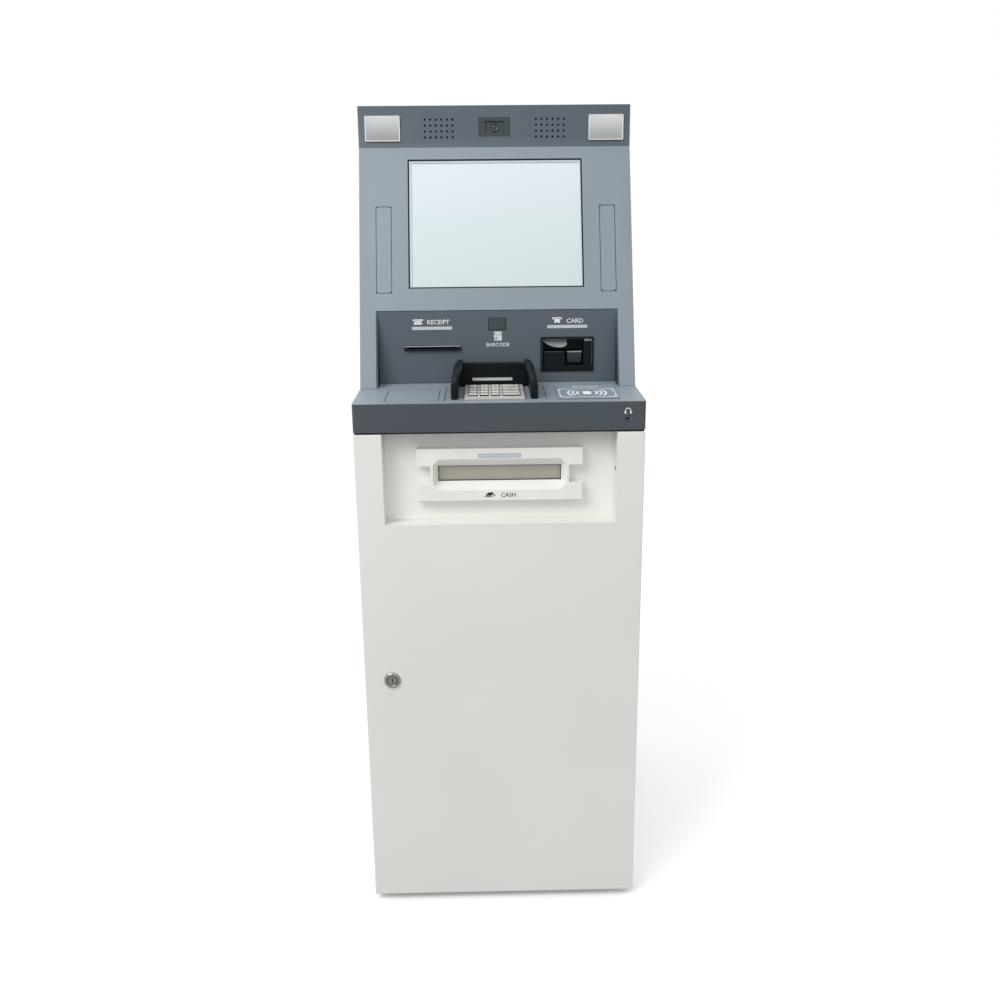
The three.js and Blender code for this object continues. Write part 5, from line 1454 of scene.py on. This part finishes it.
class CASH_OT_strip_fittings(CashOperator, bpy.types.Operator):
    """Convex mirrors with pale rims, and the camera behind its window"""

    bl_idname = "cash_machine.strip_fittings"
    bl_label = "Mirrors and camera"

    def execute(self, context):
        for side in ("left", "right"):
            self.mirror("mirror_" + side)
        self.camera()
        return {"FINISHED"}

    def mirror(self, node):
        face = face_of(node)
        low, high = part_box(node)
        width = (high.x - low.x) / MM
        height = (high.z - low.z) / MM
        thick = 2.7
        backing = soften(frame_ring(width, height, 1.2, -thick, -0.6, 1.4), 0.3)
        piece(node + "_rim", backing, pale_plastic(), "cabinet", face)
        columns, rows = 28, 20
        inner_w, inner_h = width - 1.7, height - 1.7
        bm = bmesh.new()
        top = []
        for j in range(rows + 1):
            for i in range(columns + 1):
                u, v = 2 * i / columns - 1, 2 * j / rows - 1
                rise = (1 - u * u) * (1 - v * v)
                bulge = 1.7 * (1 - (u * u + v * v) / 2) + 0.25 * rise
                top.append(bm.verts.new((u * inner_w / 2, v * inner_h / 2, -1.95 + bulge)))
        step = columns + 1
        for j in range(rows):
            for i in range(columns):
                a = j * step + i
                bm.faces.new((top[a], top[a + 1], top[a + 1 + step], top[a + step]))
        rim = [e for e in bm.edges if e.is_boundary]
        made = bmesh.ops.extrude_edge_only(bm, edges=rim)
        lower = [v for v in made["geom"] if isinstance(v, bmesh.types.BMVert)]
        for v in lower:
            v.co.z = -thick + 0.05
        bmesh.ops.contextual_create(bm, geom=[e for e in bm.edges if e.is_boundary])
        piece(node + "_glass", bm, mirror_glass(), "cabinet", face, stands_for=[node])

    def camera(self):
        node = "camera_module"
        face = face_of(node)
        centre = middle(node)
        low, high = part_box(node)
        width, height = (high.x - low.x) / MM, (high.z - low.z) / MM
        place = spot(face, centre)
        shell = soften(combined(slab(width, height, -4.2, -0.2, 1.2), slab(32, 19, -6, 2, 0.8)), 0.3)
        body = soften(slab(width - 1, height - 1, -24, -4.1, 1.2), 0.4)
        housing = moulded("Camera housing", "414a4c", 0.34, 0.46, shine=0.3)
        piece("camera_housing", merged(shell, body), housing, "cabinet", place,
              stands_for=[node])
        window = soften(slab(31.6, 18.6, -4.3, -3.4, 0.6), 0.15, 1)
        piece("camera_window", window, smoked_plastic(), "cabinet", place)
        ring = turned([
            (0, -3.6), (7.2, -3.6), (7.2, -1.6), (6.6, -1.1), (5.8, -1.3), (5.0, -2.3), (3.8, -2.6),
            (3.0, -2.2), (1.6, -1.9), (0, -1.8),
        ], 48)
        piece("camera_lens", ring, moulded("Lens barrel", "333c3f", 0.2, 0.3, depth=0.002, coat=0.2),
              "cabinet", place)


class CASH_OT_service_panel(CashOperator, bpy.types.Operator):
    """Service panel with the receipt, barcode and card signs and lights"""

    bl_idname = "cash_machine.service_panel"
    bl_label = "Service panel"

    def execute(self, context):
        panel = settings()[1]
        bm = node_mesh("service_panel")
        soften(bm, 0.2 * MM)
        # Faces that look sideways, the recess's side walls, take a much darker grey: painted shade.
        for each in bm.faces:
            each.material_index = int(abs(each.normal.x) > 0.9)
        # The panel's face takes the darker grey: painted shade in the recess.
        piece("service_panel_finished", bm, [dark_paint(), side_wall_paint()], "cabinet",
              stands_for=["service_panel"], metric=True)
        face = face_of("service_panel")
        height = panel.sign_height / MM
        receipt, card = middle("receipt_bezel"), middle("card_bezel")
        light_up = 33
        indicator("receipt_light", 69, "cabinet", spot(face, receipt, up=light_up))
        indicator("card_light", 69, "cabinet", spot(face, card, up=47))
        sign("receipt_sign", "RECEIPT", height, "cabinet",
             spot(face, receipt, across=-8, up=light_up + 6.5), white_ink())
        sign("card_sign", "CARD", height, "cabinet",
             spot(face, card, across=-1, up=53), white_ink())
        piece("receipt_symbol", self.receipt_symbol(), white_ink(), "cabinet",
              spot(face, receipt, across=-24, up=light_up + 6.5))
        piece("card_symbol", self.card_symbol(), white_ink(), "cabinet",
              spot(face, card, across=-17.5, up=53.5))
        scanner = middle("barcode_scanner")
        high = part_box("barcode_scanner")[1]
        window = spot(face, Vector((scanner.x, scanner.y, high.z)), up=-9.5)
        code_place = window @ move(x=1.2 * MM, y=-20.5 * MM)
        piece("barcode_symbol", ink(rounded(13.4, 15, 0.6)), white_ink(), "cabinet", code_place)
        piece("barcode_marks", self.matrix_symbol(), dark_ink(), "cabinet",
              code_place @ move(z=0.8 * PRINT * MM))
        text = lettering("BARCODE", 6.2, 0.005)
        xs = [v.co.x for v in text.verts]
        text.transform(move(x=1.2 - max(xs) / 2))
        piece("barcode_sign", text, white_ink(), "cabinet", window @ move(y=-38 * MM))
        surround = soften(frame_ring(31, 21, 1.2, -0.2, 0.3, 1.8), 0.15, 1)
        piece("scanner_surround", surround, rubber(), "cabinet", window)
        bm = node_mesh("barcode_scanner")
        soften(bm, 0.5 * MM)
        piece("barcode_scanner_finished", bm, smoked_plastic(), "cabinet",
              stands_for=["barcode_scanner"], metric=True)
        return {"FINISHED"}

    def receipt_symbol(self):
        """A slot with a curl of paper coming out of it."""
        roof = [(-8.5, 7.0), (8.5, 7.0), (8.5, 8.6), (-8.5, 8.6)]
        feet = [[(s * -8.5, 5.6), (s * -6.6, 5.6), (s * -6.6, 7.0), (s * -8.5, 7.0)] for s in (-1, 1)]
        sheet = [(-5.4, 6.2), (5.4, 6.2), (6.2, 3.8), (-6.2, 3.8)]
        curl = [(-6.6, 3.0), (6.6, 3.0), (7.2, 1.2), (7.2, 0), (-7.2, 0), (-7.2, 1.2)]
        return ink(roof, *feet, sheet, curl)

    def card_symbol(self):
        """A card going into a slot."""
        roof = bar(-8, 7.4, 16, 1.7)
        feet = [bar(-8, 5.6, 2, 1.8), bar(6, 5.6, 2, 1.8)]
        card = [
            (-4.6, 6.6), (4.6, 6.6), (4.6, 2.0), (5.6, 0), (1.8, 0), (0, 1.9), (-1.8, 0), (-5.6, 0),
            (-4.6, 2.0),
        ]
        return ink(roof, *feet, card)

    def matrix_symbol(self):
        """Marks of a made-up square code: three corner squares and dots in a fixed pattern."""
        size, cell = 12.0, 1.5
        shapes = []
        for cx, cy in ((0, 0), (size - 3 * cell, size - 3 * cell), (0, size - 3 * cell)):
            side, line = 3 * cell, 0.55
            shapes += [
                bar(cx, cy, side, line), bar(cx, cy + side - line, side, line),
                bar(cx, cy + line, line, side - 2 * line),
                bar(cx + side - line, cy + line, line, side - 2 * line),
                bar(cx + 1.6, cy + 1.6, 1.3, 1.3),
            ]
        for i in range(8):
            for j in range(8):
                in_corner = (i < 3 and j < 3) or (i < 3 and j > 4) or (i > 4 and j > 4)
                if not in_corner and (i * 3 + j * 5) % 4 == 1:
                    shapes.append(bar(i * cell + 0.2, j * cell + 0.2, cell - 0.4, cell - 0.4))
        bm = ink(*shapes)
        bm.transform(move(x=-size / 2, y=-size / 2))
        return bm


class CASH_OT_receipt(CashOperator, bpy.types.Operator):
    """Receipt lips and slot, printer and paper roll"""

    bl_idname = "cash_machine.receipt"
    bl_label = "Receipt printer"

    def execute(self, context):
        face = face_of("service_panel")
        centre = middle("receipt_bezel")
        low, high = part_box("receipt_bezel")
        width = (high.x - low.x) / MM
        finished("receipt_bezel", black_plastic(), 0.4)
        upper = [(0, 1.4), (5.8, 1.4), (6.2, 1.9), (6.1, 2.8), (3.8, 5.0), (0, 5.4)]
        lip = outline_block([(out, up) for out, up in upper], -width / 2, width / 2)
        lip.transform(Matrix(((0, 0, 1, 0), (0, 1, 0, 0), (1, 0, 0, 0), (0, 0, 0, 1))))
        bmesh.ops.recalc_face_normals(lip, faces=lip.faces)
        soften(lip, 0.5, 2, 30)
        piece("receipt_lip", lip, satin_plastic(), "cabinet", spot(face, centre, out=-0.4))
        finished("receipt_printer", black_plastic(), 0.9)
        self.paper()
        return {"FINISHED"}

    def paper(self):
        low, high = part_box("paper_roll")
        centre = middle("paper_roll")
        width = (high.x - low.x) / MM
        radius = (high.z - low.z) / MM / 2
        profile = [(7, -width / 2), (8.4, -width / 2), (8.4, -width / 2 + 0.3)]
        turns = 14
        for i in range(turns):
            inner = 8.4 + (radius - 8.4) * i / turns
            outer = 8.4 + (radius - 8.4) * (i + 0.8) / turns
            profile += [(inner, -width / 2 + 0.45), (outer, -width / 2 + 0.3)]
        profile += [(radius, -width / 2 + 0.6), (radius, 0)]
        profile += [(r, -h) for r, h in reversed(profile[:-1])] + [profile[0]]
        roll = turned(profile, 56)
        bmesh.ops.remove_doubles(roll, verts=roll.verts, dist=0.0005)
        place = Matrix.Translation(centre) @ turn(90, "Y")
        piece("receipt_paper_roll", roll, paper(), "paper_roll", place, stands_for=["paper_roll"])


class CASH_OT_card_reader(CashOperator, bpy.types.Operator):
    """Card bezel with its hood, sill and guide, and the reader behind it"""

    bl_idname = "cash_machine.card_reader"
    bl_label = "Card reader"

    def execute(self, context):
        face = face_of("service_panel")
        centre = middle("card_bezel")
        low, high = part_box("card_bezel")
        width, height = (high.x - low.x) / MM, (high.z - low.z) / MM
        place = spot(face, centre)
        left, right, foot, top = -width / 2, width / 2, -height / 2, height / 2
        rim = soften(frame_ring(width, height, 2.7, -1.0, 2.0, 1.6), 0.5, 3)
        tub = frame_ring(width - 1, height - 1, 2.0, -30.5, -0.3, 1.0)
        floor = soften(slab(width - 2, height - 2, -31, -23, 1.0), 0.3, 1)
        slot = slab(58, 2.6, -40, 20, 0.6)
        slot.transform(move(x=-8, y=6))
        floor = combined(floor, slot)
        shelf, sill = top - 25, top - 49
        parts = [
            rim, tub, floor,
            self.block(left + 6, left + 42, sill, shelf, -24, -1.5, 1.3),
            self.block(left + 1.5, right - 1.5, foot + 1.5, sill + 0.5, -24, 0.5, 1.2),
            self.block(left + 74.6, right - 1.5, sill, top - 3, -24, -1.2, 4.2),
        ]
        piece("card_bezel_moulding", merged(*parts), black_plastic(), "cabinet", place,
              stands_for=["card_bezel"])
        ramp = merged(
            self.wedge(left + 46.6, left + 71.6, top - 45, shelf, -24, -3),
            self.block(left + 7, left + 41, shelf - 1.2, shelf + 0.2, -20, -0.8, 0.6, 0.3),
        )
        piece("card_ramp", ramp, moulded("Dull grey ramp", "3b4145", 0.4, 0.5), "cabinet",
              place)
        lips = merged(
            self.hood(left + 2.4, left + 45.5, top - 0.8),
            self.block(left + 46.6, left + 71.6, shelf - 1.6, shelf + 0.2, -20, -2.2, 0.7, 0.3),
            self.block(left + 75.4, right - 2.2, top - 7.4, top - 2.4, -20, -0.8, 2.4, 0.6),
        )
        piece("card_lips", lips, moulded("Satin lip", "969ca1", 0.22, 0.32, depth=0.006, worn=1.1),
              "cabinet", place)
        finished("card_reader", zinc(), 0.9)
        return {"FINISHED"}

    def block(self, left, right, foot, top, low, high, radius, soft=0.7):
        bm = slab(right - left, top - foot, low, high, min(radius, (top - foot) / 2 - 0.1), 6)
        bm.transform(move((left + right) / 2, (foot + top) / 2))
        return soften(bm, soft, 3)

    def wedge(self, left, right, foot, top, low, high):
        """A ramp under the slot: its face slopes back towards its foot."""
        outline = [(low, foot), (high - 7, foot), (high, top - 3), (high, top), (low, top)]
        bm = outline_block(outline, left, right)
        bm.transform(Matrix(((0, 0, 1, 0), (0, 1, 0, 0), (1, 0, 0, 0), (0, 0, 0, 1))))
        bmesh.ops.recalc_face_normals(bm, faces=bm.faces)
        return soften(bm, 0.6, 2)

    def hood(self, left, right, top):
        """The thumb scoop over the slot: straight above, with a foot that bows down and comes forward."""
        half = (right - left) / 2
        columns, rows = 30, 12
        bm = bmesh.new()
        grid = []
        for j in range(rows + 1):
            share = j / rows
            row = []
            for i in range(columns + 1):
                u = 2 * i / columns - 1
                if u < 0.4:
                    drop = 17.0 - 12.5 * ((0.4 - u) / 1.4) ** 2.2
                else:
                    drop = 17.0 - 5.0 * ((u - 0.4) / 0.6) ** 3
                forward = -8.5 + 9.0 * share ** 2.2
                row.append(bm.verts.new((left + half * (1 + u), top - drop * share, forward)))
            grid.append(row)
        for a, b in zip(grid, grid[1:]):
            for i in range(columns):
                bm.faces.new((a[i], a[i + 1], b[i + 1], b[i]))
        made = bmesh.ops.extrude_face_region(bm, geom=list(bm.faces))
        for v in made["geom"]:
            if isinstance(v, bmesh.types.BMVert):
                v.co.z = -16
        bmesh.ops.recalc_face_normals(bm, faces=bm.faces)
        return bm


class CASH_OT_rear_door(CashOperator, bpy.types.Operator):
    """Rear service door with louvres and a lock"""

    bl_idname = "cash_machine.rear_door"
    bl_label = "Rear door"

    def execute(self, context):
        rear = settings()[2]
        finished("rear_door", grey_paint(), 0.4)
        back = face_of("rear_door", BACK)
        length, pitch = rear.louvre_length / MM, rear.louvre_pitch / MM
        hood = self.louvre(length)
        for name, up in (("upper", 150), ("lower", -150)):
            rows = in_grid(hood.copy(), grey_paint(), 3, rear.louvre_rows, length + 22, pitch)
            piece("rear_louvres_" + name, rows, grey_paint(), "rear_door", spot(back, up=up))
            # A thin black sheet under each hood: painted shade in the louvre's opening.
            louvre_shade = in_grid(slab(length - 6, 3, 0.02, 0.12, 1.2, 3), black_plastic(), 3,
                            rear.louvre_rows, length + 22, pitch)
            piece("rear_louvre_shade_" + name, louvre_shade, black_plastic(), "rear_door",
                  spot(back, up=up - 2.4))
        hood.free()
        lock = turned([(0, -0.2), (11, -0.2), (11, 1.6), (10.2, 2.6), (7, 2.8), (6.6, 2.2), (0, 2.2)], 40)
        lock = combined(lock, slab(1.8, 7, 0.8, 5, 0.3))
        piece("rear_door_lock", lock, chrome(), "rear_door", spot(back, across=185))
        return {"FINISHED"}

    def louvre(self, length):
        """A pressed louvre: a quarter round hood, open below."""
        rings = []
        for i in range(9):
            angle = math.radians(90) * i / 8
            y, z = 4.5 * math.cos(angle) - 2.5, 3.2 * math.sin(angle)
            rings.append((y, z))
        outline = [*rings, (-3.1, 3.2), (-3.1, 2.5), (-2.5, 2.4), (0.6, 0.8), (1.2, 0)]
        bm = outline_block(outline, -length / 2, length / 2)
        bm.transform(Matrix(((0, 0, 1, 0), (1, 0, 0, 0), (0, 1, 0, 0), (0, 0, 0, 1))))
        bmesh.ops.recalc_face_normals(bm, faces=bm.faces)
        return bm


class CASH_OT_safe(CashOperator, bpy.types.Operator):
    """Safe body, door with its dial, handle and bolts"""

    bl_idname = "cash_machine.safe"
    bl_label = "Safe"

    def execute(self, context):
        finished("safe_body", safe_paint(), 0.7, [(2.0, on_box("safe_body"))])
        finished("safe_door", safe_paint(), 0.4)
        finished("safe_bolt_bar", zinc(), 0.35)
        bm = node_mesh("safe_handle")
        soften(bm, 3.2 * MM, 4)
        piece("safe_handle_bar", bm, chrome(), "safe_handle", stands_for=["safe_handle"],
              metric=True)
        self.dial()
        return {"FINISHED"}

    def dial(self):
        """A combination dial in front of the housing on the safe door."""
        handle = middle("safe_handle")
        door = face_of("safe_door")
        dial_up, dial_out = 120, 12
        place = spot(door, handle, up=dial_up, out=dial_out)
        knob = turned([
            (0, -0.2), (26, -0.2), (26, 1.4), (25, 2.4), (15, 3.4), (13, 4.6), (12.2, 11), (11.4, 12),
            (0, 12.3),
        ], 64)
        ticks = in_ring(slab(3.2, 0.5, 2.2, 2.75, 0.1, 1), white_ink(), 50, 22.6)
        grips = in_ring(slab(1.4, 0.9, 5, 11, 0.3, 2), black_plastic(), 32, 12.3)
        piece("safe_dial", merged(knob, grips), black_plastic(), "safe_door", place)
        piece("safe_dial_ticks", ticks, white_ink(), "safe_door", place)


class CASH_OT_dispenser(CashOperator, bpy.types.Operator):
    """Dispenser frame, cassettes with ribs, and the presenter with its screws"""

    bl_idname = "cash_machine.dispenser"
    bl_label = "Dispenser"

    def execute(self, context):
        finished("dispenser_frame", zinc(), 0.3)
        for node, finish, slot in (
            ("cassette_1", grey_plastic, "grey_plastic"),
            ("cassette_2", grey_plastic, "grey_plastic"),
            ("reject_cassette", black_plastic, "black_plastic"),
        ):
            finished(node, finish(), 1.2, segments=3)
            face = face_of(node)
            low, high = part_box(node)
            height = (high.z - low.z) / MM
            ribs = in_grid(soften(slab(3, height * 0.7, -0.2, 1.4, 0.8, 3), 0.3, 1), finish(), 2, 1, 172, 1)
            piece(node + "_ribs", ribs, finish(), "cabinet", spot(face, middle(node)))
        finished("note_presenter", zinc(), 0.6)
        low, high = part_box("note_presenter")
        front = face_of("note_presenter")
        centre = middle("note_presenter")
        screws("presenter_screws", "cabinet", spot(front, centre, out=-1.0), 2, 2, (high.x - low.x) / MM - 14,
               (high.z - low.z) / MM - 14)
        return {"FINISHED"}


class CASH_OT_computer(CashOperator, bpy.types.Operator):
    """Computer in the head's foot, with vents and ports on its back"""

    bl_idname = "cash_machine.computer"
    bl_label = "Computer"

    def execute(self, context):
        finished("computer", black_plastic(), 1.2, segments=3)
        back = face_of("computer", BACK)
        holes = in_grid(turned([(0, 0), (1.6, 0), (1.6, 0.15), (0, 0.15)], 12), zinc(), 14, 8, 5, 5)
        piece("computer_vents", holes, zinc(), "cabinet", spot(back, across=-55, up=18))
        ports = in_grid(combined(slab(15, 8, 0, 0.8, 0.6), slab(12, 5, 0.3, 2, 0.3)), zinc(), 4, 2, 20, 13)
        piece("computer_ports", ports, zinc(), "cabinet", spot(back, across=48, up=-12))
        return {"FINISHED"}


class CASH_OT_studio(CashOperator, bpy.types.Operator):
    """Pale floor, soft studio light and the camera"""

    bl_idname = "cash_machine.studio"
    bl_label = "Studio"

    def execute(self, context):
        studio = settings()[3]
        self.floor(studio)
        self.world(studio)
        self.light("Key", (-1.45, -1.7, 2.7), (0, -0.2, 0.8), 1.5, studio.key_power)
        self.camera(context, studio)
        context.scene.view_settings.view_transform = "Standard"
        return {"FINISHED"}

    def floor(self, studio):
        """A pale floor that throws less light up than it shows, as a dull floor would."""

        def build(add):
            grain = use(add, "Grain", Scale=160.0, Drift=0.7)
            path = add("ShaderNodeLightPath")
            seen = mixed(add, grain["Tone"], shade(studio.floor, 0.99), shade(studio.floor))
            to_camera = path.outputs["Is Camera Ray"]
            return {
                "Base Color": mixed(add, to_camera, shade(studio.floor, 0.46), seen),
                "Roughness": use(add, "Smudges", Scale=3.0, Smooth=0.6, Rough=0.75)["Roughness"],
                "Emission Color": mixed(add, to_camera, (0, 0, 0, 1), shade(studio.floor)),
                "Emission Strength": 0.11,
            }

        bm = bmesh.new()
        bmesh.ops.create_grid(bm, x_segments=8, y_segments=8, size=30)
        mesh = bpy.data.meshes.new("studio_floor")
        bm.to_mesh(mesh)
        bm.free()
        mesh.materials.append(surface("Studio floor", build))
        made = bpy.data.objects.new("studio_floor", mesh)
        bpy.context.scene.collection.objects.link(made)

    def world(self, studio):
        """White to the camera. Reflections and light see an overcast sky, dim at the horizon."""
        world = bpy.data.worlds.new("Studio sky")
        world.use_nodes = True
        world.node_tree.nodes.clear()
        add = adder(world.node_tree)
        place = add("ShaderNodeTexCoord")
        split = add("ShaderNodeSeparateXYZ", {"Vector": place.outputs["Generated"]})
        ramp = add("ShaderNodeValToRGB", {"Fac": split.outputs["Z"]})
        stops = ((0.0, 0.62), (0.12, 0.70), (0.32, 1.0), (0.6, 1.42), (1.0, 1.5))
        while len(ramp.color_ramp.elements) < len(stops):
            ramp.color_ramp.elements.new(0.5)
        for element, (where, value) in zip(ramp.color_ramp.elements, stops):
            element.position = where
            element.color = (value * 0.985, value * 0.995, value, 1)
        sky = add("ShaderNodeBackground", {"Color": ramp.outputs["Color"], "Strength": studio.sky})
        plain = add("ShaderNodeBackground", {"Color": (1, 1, 1, 1), "Strength": 1.0})
        path = add("ShaderNodeLightPath")
        seen = add("ShaderNodeMixShader", {
            0: path.outputs["Is Camera Ray"],
            1: sky.outputs[0],
            2: plain.outputs[0],
        })
        add("ShaderNodeOutputWorld", {"Surface": seen.outputs[0]})
        bpy.context.scene.world = world

    def light(self, name, place, target, size, power):
        lamp = bpy.data.lights.new(name, "AREA")
        lamp.shape = "SQUARE"
        lamp.size = size
        lamp.energy = power
        made = bpy.data.objects.new(name, lamp)
        bpy.context.scene.collection.objects.link(made)
        aim = (Vector(target) - Vector(place)).to_track_quat("-Z", "Y").to_matrix().to_4x4()
        made.matrix_world = Matrix.Translation(place) @ aim

    def camera(self, context, studio):
        data = bpy.data.cameras.new("Camera")
        data.sensor_width = 36
        data.lens = studio.lens
        data.clip_start = 0.05
        made = bpy.data.objects.new("Camera", data)
        context.scene.collection.objects.link(made)
        level = Euler((math.radians(90) - studio.pitch, 0, studio.heading)).to_matrix().to_4x4()
        made.matrix_world = (
            Matrix.Translation(studio.eye) @ level @ Matrix.Rotation(studio.roll, 4, "Z")
        )
        context.scene.camera = made


STEPS = (
    CASH_OT_studio,
    CASH_OT_cabinet,
    CASH_OT_front_door,
    CASH_OT_cash_outlet,
    CASH_OT_console,
    CASH_OT_keypad,
    CASH_OT_privacy_shield,
    CASH_OT_contactless,
    CASH_OT_head,
    CASH_OT_display,
    CASH_OT_strip_fittings,
    CASH_OT_service_panel,
    CASH_OT_receipt,
    CASH_OT_card_reader,
    CASH_OT_rear_door,
    CASH_OT_safe,
    CASH_OT_dispenser,
    CASH_OT_computer,
)
GROUPS = {
    "cash_paint": PaintSettings,
    "cash_panel": PanelSettings,
    "cash_rear": RearSettings,
    "cash_studio": StudioSettings,
}


class CASH_PT_machine(bpy.types.Panel):
    """Lists the settings and the steps"""

    bl_idname = "CASH_PT_machine"
    bl_label = "Cash machine"
    bl_space_type = "VIEW_3D"
    bl_region_type = "UI"
    bl_category = "Cash machine"

    def draw(self, context):
        for attribute, group in GROUPS.items():
            box = self.layout.box()
            for name in group.__annotations__:
                box.prop(getattr(context.scene, attribute), name)
        for step in STEPS:
            self.layout.operator(step.bl_idname)


def register():
    for group in GROUPS.values():
        bpy.utils.register_class(group)
    for step in (*STEPS, CASH_PT_machine):
        bpy.utils.register_class(step)
    for attribute, group in GROUPS.items():
        setattr(bpy.types.Scene, attribute, PointerProperty(type=group))


def unregister():
    for attribute in GROUPS:
        delattr(bpy.types.Scene, attribute)
    for made in (CASH_PT_machine, *reversed(STEPS), *GROUPS.values()):
        bpy.utils.unregister_class(made)


def main():
    register()
    for step in STEPS:
        getattr(bpy.ops.cash_machine, step.bl_idname.split(".")[1])()


if __name__ == "__main__":
    main()
